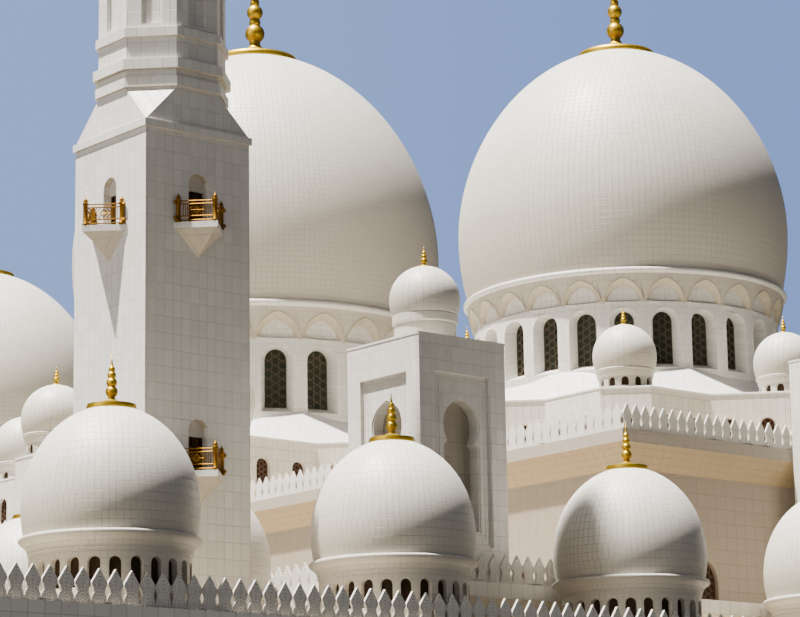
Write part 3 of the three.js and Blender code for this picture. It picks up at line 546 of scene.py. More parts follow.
def copies_tree():
    """Copies of one body on points that carry a facing angle and a size."""
    inputs = {"Copy": "Object", "Places": "Object", "Finish": "Material"}
    tree, bench, given = geometry_tree("copies in place", inputs)
    facing = bench.add("GeometryNodeInputNamedAttribute", {"Name": "facing"}, data_type="FLOAT")
    size = bench.add("GeometryNodeInputNamedAttribute", {"Name": "size"}, data_type="FLOAT")
    stood = bench.add("GeometryNodeInstanceOnPoints", {
        "Points": bench.shape_of(given["Places"]), "Instance": bench.shape_of(given["Copy"]),
        "Rotation": bench.vector(0.0, 0.0, facing), "Scale": size})
    close_tree(bench, stood, given["Finish"])
    return tree


def row_tree():
    """Merlons set side by side along straight runs, as many as fit at the given pitch."""
    inputs = {"Merlon": "Object", "Runs": "Object", "Pitch": "Float", "Finish": "Material"}
    tree, bench, given = geometry_tree("merlon rows", inputs)
    length = bench.add("GeometryNodeSplineLength")
    count = bench.math("ROUND", length / given["Pitch"]) + 1
    posts = bench.add("GeometryNodeResampleCurve", {"Curve": bench.shape_of(given["Runs"]), "Count": count})
    x, y, _ = bench.add("GeometryNodeInputTangent").parts()
    stretch = length / ((count - 1) * given["Pitch"])
    stood = bench.add("GeometryNodeInstanceOnPoints", {
        "Points": posts, "Instance": bench.shape_of(given["Merlon"]),
        "Rotation": bench.vector(0.0, 0.0, bench.math("ARCTAN2", y, x)),
        "Scale": bench.vector(stretch, 1.0, 1.0)})
    close_tree(bench, stood, given["Finish"])
    return tree


def bead_tree():
    """A round bead that follows a path."""
    inputs = {"Path": "Object", "Radius": "Float", "Sides": "Int", "Finish": "Material"}
    tree, bench, given = geometry_tree("bead on a path", inputs)
    ring = bench.add("GeometryNodeCurvePrimitiveCircle",
                     {"Resolution": given["Sides"], "Radius": given["Radius"]})
    bead_body = bench.add("GeometryNodeCurveToMesh", {
        "Curve": bench.shape_of(given["Path"]), "Profile Curve": ring, "Fill Caps": True})
    close_tree(bench, bead_body, given["Finish"])
    return tree


TURNED = turned_tree()
COPIES = copies_tree()
ROWS = row_tree()
BEAD = bead_tree()


def points_object(points):
    """A line of points, as an outline to turn or as places to stand copies on."""
    mesh = bpy.data.meshes.new("points")
    edges = [(i, i + 1) for i in range(len(points) - 1)]
    mesh.from_pydata([Vector(p) * MODEL for p in points], edges, [])
    return link("points", mesh)


def paths_object(lines):
    curve = bpy.data.curves.new("paths", "CURVE")
    curve.dimensions = "3D"
    for line in lines:
        spline = curve.splines.new("POLY")
        spline.points.add(len(line) - 1)
        for point, place in zip(spline.points, line):
            point.co = (*(Vector(place) * MODEL), 1.0)
    return link("paths", curve)


def turned(name, profile, material, segments=48, tile=1.0, centre=(0, 0, 0), sharp=40.0, group=6):
    """A profile of (radius, height) turned about an upright axis; tile is a slab's width."""
    line = points_object([(radius, 0, height) for radius, height in profile])
    body = grown(name, TURNED, {
        "Profile": line, "Segments": segments, "Tile Width": tile * MODEL, "Tile Group": group,
        "Centre": Vector(centre) * MODEL, "Finish": material}, sharp)
    discard(line)
    return body


def copies(name, part, places, material, sharp=35.0):
    """Copies of a body or shell on (x, y, z, facing, size) places; a body is used up."""
    body = part.body("part", material) if isinstance(part, Shell) else part
    points = points_object([place[:3] for place in places])
    for label, index in (("facing", 3), ("size", 4)):
        values = points.data.attributes.new(label, "FLOAT", "POINT")
        values.data.foreach_set("value", [place[index] for place in places])
    made = grown(name, COPIES, {"Copy": body, "Places": points, "Finish": material}, sharp)
    discard(points, body)
    return made


def bead(name, lines, radius, material, sides=6):
    path = paths_object(lines)
    settings = {"Path": path, "Radius": radius * MODEL, "Sides": sides, "Finish": material}
    body = grown(name, BEAD, settings, 50.0)
    discard(path)
    return body


def merlon_rows(name, runs, merlon_size, *nodes):
    """Rows of merlons on runs given by their two ends, in place of the plain parapets."""
    pitch, height, thick = merlon_size
    lines = []
    for start, end in runs:
        start, end = Vector(start), Vector(end)
        ease = (end - start).normalized() * pitch / 2
        lines.append([start + ease, end - ease])
    merlon = merlon_shell(pitch, height, thick).body("merlon", carved_marble)
    path = paths_object(lines)
    settings = {"Merlon": merlon, "Runs": path, "Pitch": pitch * MODEL, "Finish": carved_marble}
    body = grown(name, ROWS, settings, 40)
    discard(merlon, path)
    piece(body, "wall_marble", *nodes)


# Places

def circle(x, y, radius, count, shift=0.0):
    """Evenly spaced points (x, y, angle) round a circle."""
    angles = [TURN * (i + shift) / count for i in range(count)]
    return [(x + radius * math.cos(angle), y + radius * math.sin(angle), angle) for angle in angles]


def turns_about(x, y, z, count):
    """Places for copies that are turned about one axis."""
    return [(x, y, z, TURN * i / count, 1.0) for i in range(count)]


def ring_runs(corners, z):
    points = [(x, y, z) for x, y in corners]
    return list(zip(points, points[1:] + points[:1]))


# Outlines, as (across, up) points

def box_outline(half, low, high):
    return [(-half, low), (half, low), (half, high), (-half, high)]


def round_arch(half, sill, top, steps=10, centre=0.0):
    """A round-headed opening, anticlockwise from its left foot."""
    points = [(centre - half, sill), (centre + half, sill)]
    for i in range(steps + 1):
        angle = math.pi * i / steps
        points.append((centre + half * math.cos(angle), top - half + half * math.sin(angle)))
    return points


def arc_arch(half, foot, apex, steps=6, centre_share=0.25):
    """An arch with a pointed head of two arcs."""
    centre = half * centre_share
    radius = half + centre
    spring = apex - math.sqrt(radius ** 2 - centre ** 2)
    side = []
    for i in range(steps):
        angle = math.acos(centre / radius) * i / steps
        side.append((radius * math.cos(angle) - centre, spring + radius * math.sin(angle)))
    mirrored = [(-x, z) for x, z in reversed(side)]
    return [(-half, foot), (half, foot), *side, (0.0, apex), *mirrored]


# Right half of the niche's head, measured from its apex: notched foot, then the bulging arch
KEYHOLE_HEAD = [
    (1.28, -2.78), (1.24, -2.68), (1.14, -2.6), (1.05, -2.53), (1.03, -2.47), (1.12, -2.28),
    (1.22, -2.02), (1.28, -1.72), (1.295, -1.42), (1.26, -1.13), (1.17, -0.86), (1.02, -0.61),
    (0.81, -0.4), (0.55, -0.21), (0.27, -0.07)]


def keyhole(foot, apex, grow=0.0):
    """A pointed horseshoe arch on straight jambs, drawn wider by grow."""
    jamb = NICHE_HALF + grow
    side = [(x + grow, apex + z) for x, z in KEYHOLE_HEAD]
    mirrored = [(-x, z) for x, z in reversed(side)]
    return [(jamb, foot), *side, (0.0, apex + grow), *mirrored, (-jamb, foot)]


def star_outline(half, corner):
    """Two squares turned against each other, their eight corners cut off."""
    cut = half * math.sqrt(2) - corner
    notch = half / math.cos(math.pi / 8)
    points = []
    for i in range(8):
        angle = i * math.pi / 4
        c, s = math.cos(angle), math.sin(angle)
        points.append((corner * c + cut * s, corner * s - cut * c))
        points.append((corner * c - cut * s, corner * s + cut * c))
        points.append((notch * math.cos(angle + math.pi / 8), notch * math.sin(angle + math.pi / 8)))
    return points


def bay_frame(half, low, high, steps):
    """One bay, its level edges divided into steps."""
    across = [-half + 2 * half * i / steps for i in range(steps + 1)]
    return [(x, low) for x in across] + [(x, high) for x in reversed(across)]


def evenly(points, step):
    """A line through the points again, at even steps of its length."""
    lengths = [0.0]
    for (x0, z0), (x1, z1) in zip(points, points[1:]):
        lengths.append(lengths[-1] + math.hypot(x1 - x0, z1 - z0))
    count = max(2, round(lengths[-1] / step))
    result, index = [], 0
    for i in range(count + 1):
        at = lengths[-1] * i / count
        while index < len(points) - 2 and lengths[index + 1] < at:
            index += 1
        share = (at - lengths[index]) / (lengths[index + 1] - lengths[index])
        result.append(tuple(a + (b - a) * share for a, b in zip(points[index], points[index + 1])))
    return result


def bulging_line(foot, wide, wide_at, height, steps, crown=(1.0, 1.0)):
    """Half outline of a bulging dome, from its foot to its crown."""
    sag = wide_at / math.sqrt(1 - (foot / wide) ** 2)
    low = [(wide * math.sqrt(1 - ((wide_at - z) / sag) ** 2), z)
           for z in (wide_at * i / steps for i in range(steps))]
    high = [(wide * math.cos(a) ** crown[0], wide_at + (height - wide_at) * math.sin(a) ** crown[1])
            for a in (math.pi / 2 * i / steps for i in range(steps))]
    return low + high + [(0.0, height)]


def dome_line(shape, base, step, steps=24):
    """Half outline of a small dome that stands on a base height, in even steps."""
    return evenly([(radius, z + base) for radius, z in bulging_line(*shape, steps)], step)


def ball(radius, middle, neck, steps=7):
    """Half outline of a ball between two necks."""
    start = math.asin(neck / radius)
    points = []
    for i in range(steps + 1):
        angle = start + (math.pi - 2 * start) * i / steps
        points.append((radius * math.sin(angle), middle - radius * math.cos(angle)))
    return points


def finial_line(cap, balls, tip, cap_rise, rim_top=0.0):
    """A disc cap, a flare, a stack of balls that grow smaller, and a point."""
    line = [(0.0, -cap_rise), (cap * 0.97, -cap_rise), (cap, -cap_rise * 0.6)]
    line.append((cap * 0.97, rim_top - cap_rise * 0.1))
    first, first_at = balls[0]
    last, last_at = balls[-1]
    flare_top = first_at - first * 0.8
    for i in range(1, 9):
        share = i / 8
        flare = rim_top + (flare_top - rim_top) * share ** 1.15
        line.append((cap * 0.94 * (1 - share) ** 2.1 + first * 0.55 * share, flare))
    for radius, middle in balls:
        line.extend(ball(radius, middle, radius * 0.5))
    line.extend([(last * 0.35, last_at + last * 1.6), (last * 0.22, last_at + last * 2.4), (0.0, tip)])
    return line


GREAT_BALLS = [(0.68, 1.9), (0.4, 2.72), (0.56, 3.45), (0.33, 4.15), (0.42, 4.7), (0.24, 5.2), (0.3, 5.6)]
MEDIUM_BALLS = [(0.31, 0.72), (0.27, 1.18), (0.22, 1.55), (0.17, 1.85)]
SMALL_BALLS = [(0.2, 0.34), (0.16, 0.6), (0.12, 0.81)]
SPIRE_BALLS = [(0.62, 1.3), (0.5, 2.35), (0.42, 3.2), (0.32, 3.95), (0.24, 4.55)]
GREAT_FINIAL = finial_line(3.0, GREAT_BALLS, 6.9, 0.47)
MEDIUM_FINIAL = finial_line(1.25, MEDIUM_BALLS, 2.75, 0.21, 0.08)
SMALL_FINIAL = finial_line(0.44, SMALL_BALLS, 1.24, 0.06)
SPIRE = finial_line(0.55, SPIRE_BALLS, 7.98, 0.0)


# Walls, openings and lattices; place gives the point for (across, up, depth)

def slab_map(width, course, shift=0.0, stretch=1.0):
    """Map of a flat face in whole slabs, which are counted from a shift to one side."""
    return lambda across, up: ((across * stretch + shift) / width, up * stretch / course)


def at_depth(outline, place, depth):
    return [place(across, up, depth) for across, up in outline]


def filled(shell, outer, holes, place, depth, map_at=None, flip=False):
    """A flat or bent face with holes."""
    loops = [outer, *holes]
    flat = [point for loop in loops for point in loop]
    triangles = tessellate_polygon([[Vector((x, z, 0)) for x, z in loop] for loop in loops])
    for triangle in triangles:
        (ax, az), (bx, bz), (cx, cz) = (flat[i] for i in triangle)
        area = (bx - ax) * (cz - az) - (cx - ax) * (bz - az)
        if abs(area) < 1e-9:
            continue
        corners = list(triangle) if (area > 0) != flip else list(reversed(triangle))
        maps = [map_at(*flat[i]) for i in corners] if map_at else None
        shell.face(at_depth([flat[i] for i in corners], place, depth), maps)


def strip(shell, near, far, map_near=None, map_far=None):
    """Quads round between two outlines with the same number of points."""
    for i in range(len(near)):
        j = (i + 1) % len(near)
        maps = [map_near[i], map_near[j], map_far[j], map_far[i]] if map_near else None
        shell.face([near[i], near[j], far[j], far[i]], maps)


def opening(shell, outer, inner, place, near, far, map_at):
    """The sides of an opening, from its outer outline to its inner one."""
    maps = [map_at(*point) for point in outer]
    strip(shell, at_depth(outer, place, near), at_depth(inner, place, far), maps, maps)


def plate(shell, outline, place, front, back, map_at=None):
    """A closed flat body with a front, a back and sides."""
    filled(shell, outline, [], place, front, map_at)
    filled(shell, outline, [], place, back, map_at, flip=True)
    strip(shell, at_depth(outline, place, back), at_depth(outline, place, front))


def block(shell, x0, x1, y0, y1, z0, z1):
    corners = [(x0, y0), (x1, y0), (x1, y1), (x0, y1)]
    low = [(x, y, z0) for x, y in corners]
    high = [(x, y, z1) for x, y in corners]
    shell.face(low[::-1])
    shell.face(high)
    strip(shell, low, high)


def crossings(outline, origin, direction):
    """How far along a line it crosses the outline, in order."""
    c, s = direction
    found = []
    for (x0, z0), (x1, z1) in zip(outline, outline[1:] + outline[:1]):
        side0 = (x0 - origin[0]) * s - (z0 - origin[1]) * c
        side1 = (x1 - origin[0]) * s - (z1 - origin[1]) * c
        if side0 * side1 < 0:
            share = side0 / (side0 - side1)
            x, z = x0 + (x1 - x0) * share, z0 + (z1 - z0) * share
            found.append((x - origin[0]) * c + (z - origin[1]) * s)
    return sorted(found)


def lattice_bars(outline, pitch, half_width):
    """Bars of a star lattice in three directions, cut off at an outline."""
    bars = []
    xs, zs = zip(*outline)
    middle = ((min(xs) + max(xs)) / 2, (min(zs) + max(zs)) / 2)
    reach = math.hypot(max(xs) - min(xs), max(zs) - min(zs)) / 2
    count = int(reach / pitch) + 1
    for turn in (90, 30, 150):
        c, s = math.cos(math.radians(turn)), math.sin(math.radians(turn))
        for i in range(-count, count + 1):
            offset = (i + 0.5) * pitch
            origin = (middle[0] - s * offset, middle[1] + c * offset)
            cuts = crossings(outline, origin, (c, s))
            for start, end in zip(cuts[::2], cuts[1::2]):
                if end - start > half_width * 3:
                    bars.append((origin, (c, s), start, end))
    return bars


def lattice(shell, outline, place, depth, pitch, half_width, thick=0.06):
    """A window lattice with a rim, standing in front of the glass."""
    section = [(-half_width, 0.0), (half_width, 0.0), (half_width, thick), (-half_width, thick)]
    for (ox, oz), (c, s), start, end in lattice_bars(outline, pitch, half_width):
        ends = []
        for at in (start, end):
            x, z = ox + c * at, oz + s * at
            ends.append([place(x - s * side, z + c * side, depth - out) for side, out in section])
        strip(shell, *ends)
        shell.face(ends[0][::-1])
        shell.face(ends[1])
    rim(shell, outline, place, depth, half_width * 1.6, thick * 1.3)


def shrunk(outline, by):
    """The outline drawn in towards its middle."""
    result = []
    for i, (x, z) in enumerate(outline):
        px, pz = outline[i - 1]
        nx, nz = outline[(i + 1) % len(outline)]
        before, after = Vector((x - px, z - pz)).normalized(), Vector((nx - x, nz - z)).normalized()
        inward = Vector((-before.y - after.y, before.x + after.x)).normalized()
        lean = max(0.35, inward.dot(Vector((-before.y, before.x))))
        result.append((x + inward.x * by / lean, z + inward.y * by / lean))
    return result


def rim(shell, outline, place, depth, width, thick):
    """A flat band round the inside of an outline."""
    inner = shrunk(outline, width)
    loops = [at_depth(outline, place, depth), at_depth(outline, place, depth - thick),
             at_depth(inner, place, depth - thick), at_depth(inner, place, depth)]
    for near, far in zip(loops, loops[1:] + loops[:1]):
        strip(shell, near, far)


# Great domes and their drums

def drum_place(wall, size=1.0, foot=0.0, radius_at=None):
    """Bends a flat bay round a drum with a wall of this radius, which may change with height."""
    def place(across, up, depth):
        radius = ((radius_at(up) if radius_at else wall) - depth) * size
        angle = across / wall
        return (radius * math.cos(angle), radius * math.sin(angle), foot + up * size)
    return place


def neck_radius(up):
    """The drum flares out above its windows."""
    share = min(1.0, max(0.0, (up - NECK_FOOT) / (NECK_TOP - NECK_FOOT)))
    return DRUM_WALL + (NECK_REACH - DRUM_WALL) * share ** NECK_CURVE


def drum_window(half, place, slabs_at):
    """Wall of one bay with a window opening, its glass and its lattice."""
    wall, glass, bars = Shell(), Shell(), Shell()
    outline = bay_frame(half, DRUM_FOOT, NECK_FOOT, 8)
    outer, inner = round_arch(*WINDOW_OUTER, 12), round_arch(*WINDOW_INNER, 12)
    inside = DRUM_WALL - DRUM_INNER
    filled(wall, outline, [outer], place, 0.0, slabs_at)
    opening(wall, outer, inner, place, 0.0, WINDOW_DEPTH, slabs_at)
    filled(wall, outline, [inner], place, inside, slabs_at, flip=True)
    opening(wall, inner, inner, place, WINDOW_DEPTH, inside, slabs_at)
    filled(glass, inner, [], place, PANE_DEPTH, slabs_at)
    lattice(bars, inner, place, LATTICE_DEPTH, pitch=0.5, half_width=0.018)
    return wall, glass, bars


def blind_arch(half, neck_place, slabs_at):
    """Flaring neck of one bay with a shallow blind arch, and the two lines of its rib."""
    neck, reveal, blind = Shell(), Shell(), Shell()
    arch = arc_arch(half * BLIND_SHARE, BLIND_FOOT, BLIND_TOP, 8)
    deep_arch = arc_arch(half * BLIND_DEEP_SHARE, BLIND_FOOT, BLIND_DEEP_TOP, 8)

    def sunk_place(across, up, share, proud=0.0):
        recess = BLIND_DEPTH + neck_radius(up) - DRUM_WALL
        return neck_place(across, up, recess * share - proud)

    filled(neck, bay_frame(half, NECK_FOOT, NECK_TOP, 8), [arch], neck_place, 0.0, slabs_at)
    opening(reveal, arch, deep_arch, sunk_place, 0.0, 1.0, slabs_at)
    filled(blind, deep_arch, [], sunk_place, 1.0, slabs_at)
    ribs = []
    for line, share in ((arch, 0.0), (deep_arch, 1.0)):
        ribs.append([sunk_place(x, z, share, 0.005) for x, z in line[1:] + line[:1]])
    return neck, reveal, blind, ribs


def great_drum(name, y, size, tier_top):
    foot = tier_top + ROOF_RISE * size
    half = math.pi * DRUM_WALL / DRUM_BAYS
    slabs_at = slab_map(DRUM_SLAB, DRUM_SLAB, 1000, size)
    wall, glass, bars = drum_window(half, drum_place(DRUM_WALL, size, foot), slabs_at)
    neck_place = drum_place(DRUM_WALL, size, foot, neck_radius)
    neck, reveal, blind, ribs = blind_arch(half, neck_place, slabs_at)
    places = turns_about(0, y, 0, DRUM_BAYS)
    low, top = NECK_FOOT - 0.01, DRUM_HEIGHT
    roll = [
        (10.6, 6.6), (12.0, 6.94), (12.06, 6.96), (12.17, 7.0), (12.25, 7.08), (12.27, 7.18), (12.24, 7.28),
        (12.15, 7.36), (12.03, top), (DRUM_INNER, top), (DRUM_INNER, low), (10.6, low), (10.6, 6.6)]
    stones = [
        copies("bays", wall, places, drum_tiles),
        copies("neck", neck, places, neck_shade_stone),
        copies("reveals", reveal, places, rib_shade_stone),
        copies("blind", blind, places, drum_tiles),
        copies("ribs", bead("rib", ribs, 0.03 * size, rib_shade_stone), places, rib_shade_stone, 60),
        turned("ring", scaled(roll, size), drum_tiles, GREAT_SEGMENTS, 0.9, (0, y, foot), 50)]
    piece(joined(f"{name}_drum_with_blind_arches", stones), "wall_marble", f"{name}_drum")
    panes = copies(f"{name}_drum_window_glass", glass, places, drum_pane)
    piece(panes, "dark_glass", f"{name}_drum_glass")
    piece(copies(f"{name}_drum_window_lattice", bars, places, bronze), "gilded_metal")


def scaled(line, size):
    return [(radius * size, height * size) for radius, height in line]


def dome_profile(size):
    """Section of a great dome's shell: its inner face down, then its outer face up."""
    foot, wide, wide_at, height, shell = (
        value * size for value in (DOME_FOOT, DOME_WIDE, DOME_WIDE_AT, DOME_HEIGHT, DOME_SHELL))
    outer = bulging_line(foot, wide, wide_at, height, 60, GREAT_CROWN)
    inner = bulging_line(foot - shell, wide - shell, wide_at, height - shell, 24, GREAT_CROWN)
    return evenly(inner, DRUM_SLAB * 3)[::-1] + evenly(outer, DRUM_SLAB)


def great_dome(name, y, size, tier_top):
    foot = tier_top + (ROOF_RISE + DRUM_HEIGHT) * size
    shell = turned(f"{name}_great_dome_shell", dome_profile(size), dome_tiles, GREAT_SEGMENTS,
                   DRUM_SLAB, (0, y, foot), 60, 12)
    piece(shell, "dome_marble", f"{name}_great_dome")
    crown = foot + DOME_HEIGHT * size
    finial = turned(f"{name}_gilded_finial", scaled(GREAT_FINIAL, size), gold, centre=(0, y, crown), sharp=60)
    piece(finial, "gilded_metal", f"{name}_dome_finial")


# Star-shaped tiers

def level_ring(outline, y, z, share=1.0):
    """A star outline at a height, about the axis of its dome."""
    return [(px * share, py * share + y, z) for px, py in outline]


def tier_place(start, end, y):
    """Stands a flat face on the line between two corners of the star."""
    (x0, y0), (x1, y1) = start, end
    length = math.dist(start, end)
    ux, uy = (x1 - x0) / length, (y1 - y0) / length

    def place(across, up, depth):
        return (x0 + ux * across - uy * depth, y + y0 + uy * across + ux * depth, up)
    return place


def tier_windows(start, end, chamfer, size):
    """Middle and half width of each window on one face of the star."""
    length = math.dist(start, end)
    if chamfer:
        return [(length / 2, CHAMFER_WINDOW_HALF * size)]
    rising = math.hypot(*start) < math.hypot(*end)
    spots = (0.235, 0.72) if rising else (0.28, 0.765)
    return [(length * spot, SIDE_WINDOW_HALF * size) for spot in spots]


def tier_face(shells, start, end, chamfer, y, size, tier_top):
    """One straight face of the star, with its windows."""
    wall, glass, bars = shells
    low, high = HALL_TOP, tier_top - COPING
    top = tier_top - (OUTER_WINDOW_DROP if size == 1 else MIDDLE_WINDOW_DROP)
    sill, frame_width = low + TIER_WINDOW_SILL, TIER_WINDOW_FRAME
    length = math.dist(start, end)
    place = tier_place(start, end, y)
    slabs_at = slab_map(SLAB_WIDTH, SLAB_COURSE, 500 + start[0] * 3 + start[1] * 5)
    windows = tier_windows(start, end, chamfer, size)
    outers = [round_arch(half + frame_width, sill - 0.05, top, 10, middle) for middle, half in windows]
    filled(wall, [(0, low), (length, low), (length, high), (0, high)], outers, place, 0.0, slabs_at)
    for outer, (middle, half) in zip(outers, windows):
        inner = round_arch(half, sill, top - 0.08, 10, middle)
        opening(wall, outer, inner, place, 0.0, TIER_WINDOW_DEPTH, slabs_at)
        filled(glass, inner, [], place, TIER_WINDOW_DEPTH + 0.02, slabs_at)
        lattice(bars, inner, place, TIER_WINDOW_DEPTH + 0.01, pitch=0.36, half_width=0.03)


def star_tier(name, y, size, tier_top):
    wall, glass, bars = Shell(), Shell(), Shell()
    low, high = HALL_TOP, tier_top - COPING
    outer = star_outline(TIER_HALF * size, TIER_CORNER * size)
    inner = star_outline(TIER_HALF * size - TIER_WALL, TIER_CORNER * size - TIER_WALL)
    for i, start in enumerate(outer):
        end = outer[(i + 1) % len(outer)]
        tier_face((wall, glass, bars), start, end, i % 3 == 0, y, size, tier_top)
    rings = [level_ring(outer, y, high), level_ring(inner, y, high),
             level_ring(inner, y, low), level_ring(outer, y, low)]
    for near, far in zip(rings, rings[1:]):
        strip(wall, near, far)
    piece(wall.body(f"{name}_tier_walls", tier_stone), "wall_marble", f"{name}_star_tier")
    piece(glass.body(f"{name}_tier_window_glass", pane), "dark_glass")
    piece(bars.body(f"{name}_tier_window_lattice", frame_brown), "gilded_metal")


def tier_roof(y, size, tier_top):
    """Thin coping, and the sloping eight-sided roof up to the drum."""
    roof = Shell()
    star = star_outline(TIER_HALF * size, TIER_CORNER * size)
    low, high = tier_top - COPING, tier_top
    edge = [(0.0, low), (0.05, low + 0.02), (0.05, high - 0.03), (0.0, high)]
    rings = [level_ring(star, y, z, 1 + out / (TIER_HALF * size)) for out, z in edge]
    for near, far in zip(rings, rings[1:]):
        strip(roof, near, far)
    level = lambda across, along, z: (across, along, z)
    paving = lambda across, along: (across / ROOF_SLAB + 500, along / ROOF_SLAB + 500)
    outline = [(px, py + y) for px, py in star]
    filled(roof, outline, [], level, high, paving)
    filled(roof, outline, [], level, low, paving, flip=True)

    foot_z, head_z = high - 0.05, high + ROOF_RISE * size
    foot, head = ([(px, py) for px, py, _ in circle(0, y, radius * size, 8, 0.5)]
                  for radius in (ROOF_FOOT, ROOF_HEAD))
    width = 2 * ROOF_FOOT * size * math.sin(math.pi / 8) / ROOF_SLAB
    courses = 3.6
    slope_map = [(0, 0), (width, 0), (width * 0.9, courses), (width * 0.1, courses)]
    for i in range(8):
        j = (i + 1) % 8
        roof.face([(*foot[i], foot_z), (*foot[j], foot_z), (*head[j], head_z), (*head[i], head_z)], slope_map)
    filled(roof, head, [], level, head_z, paving)
    filled(roof, foot, [], level, foot_z, paving, flip=True)
    return roof.body("roof", roof_tiles)


# Domes on drums with small windows

def domed_drum(bays, wall, inner, window, height, ring, dome, tile, stone, finial, finial_at):
    """Marble, glass and gilding of a small or medium dome about the Z axis."""
    half, sill, top = window
    outer = round_arch(half, sill, top, 8)
    deep = round_arch(half * 0.93, sill + 0.01, top - half * 0.07, 8)
    place = drum_place(wall)
    slabs_at = slab_map(tile, tile, 100)
    front, glass = Shell(), Shell()
    filled(front, bay_frame(math.pi * wall / bays, 0.0, height, 2), [outer], place, 0.0, slabs_at)
    opening(front, outer, deep, place, 0.0, wall - inner, slabs_at)
    filled(glass, deep, [], place, (wall - inner) * 0.8, slabs_at)
    places = turns_about(0, 0, 0, bays)
    marble = [copies("bays", front, places, stone),
              turned("ring", ring, stone, SMALL_SEGMENTS, tile, sharp=50),
              turned("shell", dome, stone, SMALL_SEGMENTS, tile, sharp=60)]
    panes = copies("panes", glass, places, pane)
    tip = turned("finial", [(r, z + finial_at) for r, z in finial], gold, 24, sharp=60)
    return joined("marble", marble), panes, tip


def small_dome():
    ring = [(1.7, -0.02), (1.9, 0.0), (1.9, 0.02), (1.7, 0.02), (1.7, 0.78), (1.9, 0.78), (1.94, 0.82),
            (2.02, 1.2), (2.1, 1.26), (2.12, 1.34), (2.06, 1.4), (0.0, 1.4)]
    dome = [(0.0, 1.38), *dome_line(SMALL_DOME, 1.38, 0.24)]
    return domed_drum(bays=12, wall=1.9, inner=1.7, window=(0.28, 0.08, 0.74), height=0.8, ring=ring,
                      dome=dome, tile=0.42, stone=smooth_dome, finial=SMALL_FINIAL, finial_at=4.7)


def medium_dome():
    wall = 3.98
    band = wall + 0.06
    ring = [(3.5, 0.0), (3.5, 2.86), (wall + 0.01, 2.86), (band, 2.88), (band, 2.95), (4.05, 3.0),
            (4.14, 3.22), (4.33, 3.42), (4.44, 3.47), (4.48, 3.53), (4.5, 3.6), (4.48, 3.68),
            (4.4, 3.74), (0.0, 3.77)]
    dome = [(0.0, 3.75), *dome_line(MEDIUM_DOME, 3.75, 0.46, 40)]
    return domed_drum(bays=24, wall=wall, inner=3.6, window=(0.32, 1.0, 2.5), height=2.88, ring=ring,
                      dome=dome, tile=0.34, stone=medium_tiles, finial=MEDIUM_FINIAL, finial_at=10.35)


def tier_roofs_and_small_domes():
    marble, glass, gilded = small_dome()
    for name, dome in DOMES.items():
        y, size, tier_top = dome["y"], dome["size"], dome["tier_top"]
        places = [(px, py, tier_top, angle, size) for px, py, angle in circle(0, y, TIER_RING * size, 8)]
        stones = copies("small domes", duplicate(marble), places, smooth_dome)
        roof = joined(f"{name}_tier_roof_and_small_domes", [tier_roof(y, size, tier_top), stones])
        piece(roof, "roof_marble", f"{name}_tier_roof")
        piece(copies(f"{name}_small_dome_windows", duplicate(glass), places, pane), "dark_glass")
        piece(copies(f"{name}_small_dome_finials", duplicate(gilded), places, gold, 60), "gilded_metal")
    discard(marble, glass, gilded)


def arcade_roof():
    spots = [(x, side * WING_DOME_Y) for x in WING_DOMES_X for side in SIDES.values()]
    spots += [(FRONT_DOME_X, y) for y in FRONT_DOMES_Y]
    places = [(x, y, ARCADE_TOP, 0.0, 1.0) for x, y in spots]
    marble, glass, gilded = medium_dome()
    stones = copies("medium domes", marble, places, medium_tiles)
    slab = Shell()
    for x0, x1, y0, y1 in (
        (ARCADE_END_X, WING_BACK_X, -ARCADE_OUT_Y, -WING_INNER_Y),
        (ARCADE_END_X, WING_BACK_X, WING_INNER_Y, ARCADE_OUT_Y),
        (ARCADE_OUT_X, -LOW_X - LOW_LEDGE - WALL_GAP, -WING_INNER_Y, WING_INNER_Y),
    ):
        block(slab, x0, x1, y0, y1, ARCADE_WALL_TOP + 0.01, ARCADE_TOP)
    roof = joined("arcade_roof_with_medium_domes", [slab.body("slab", flat_roof), stones])
    piece(roof, "dome_marble", "arcade_roof_and_domes")
    piece(copies("medium_dome_windows", glass, places, pane), "dark_glass")
    piece(copies("medium_dome_finials", gilded, places, gold, 60), "gilded_metal")


# Parapets

# Right half of a merlon from its foot to its point, as shares of its pitch and height
MERLON_HALF = [
    (0.5, 0.0), (0.5, 0.08), (0.465, 0.11), (0.45, 0.19), (0.39, 0.24), (0.345, 0.3), (0.335, 0.36),
    (0.36, 0.43), (0.42, 0.49), (0.47, 0.54), (0.475, 0.59), (0.44, 0.64), (0.36, 0.7), (0.27, 0.775),
    (0.18, 0.85), (0.09, 0.925), (0.0, 1.0)]


def merlon_shell(pitch, height, thick):
    """A pointed leaf that joins its neighbours at the foot and the shoulder."""
    right = [(x * pitch, z * height) for x, z in MERLON_HALF]
    left = [(-x, z) for x, z in reversed(right[:-1])]
    shell = Shell()
    place = lambda across, up, depth: (across, depth, up)
    plate(shell, right + left, place, -thick / 2, thick / 2, slab_map(pitch, height))
    return shell


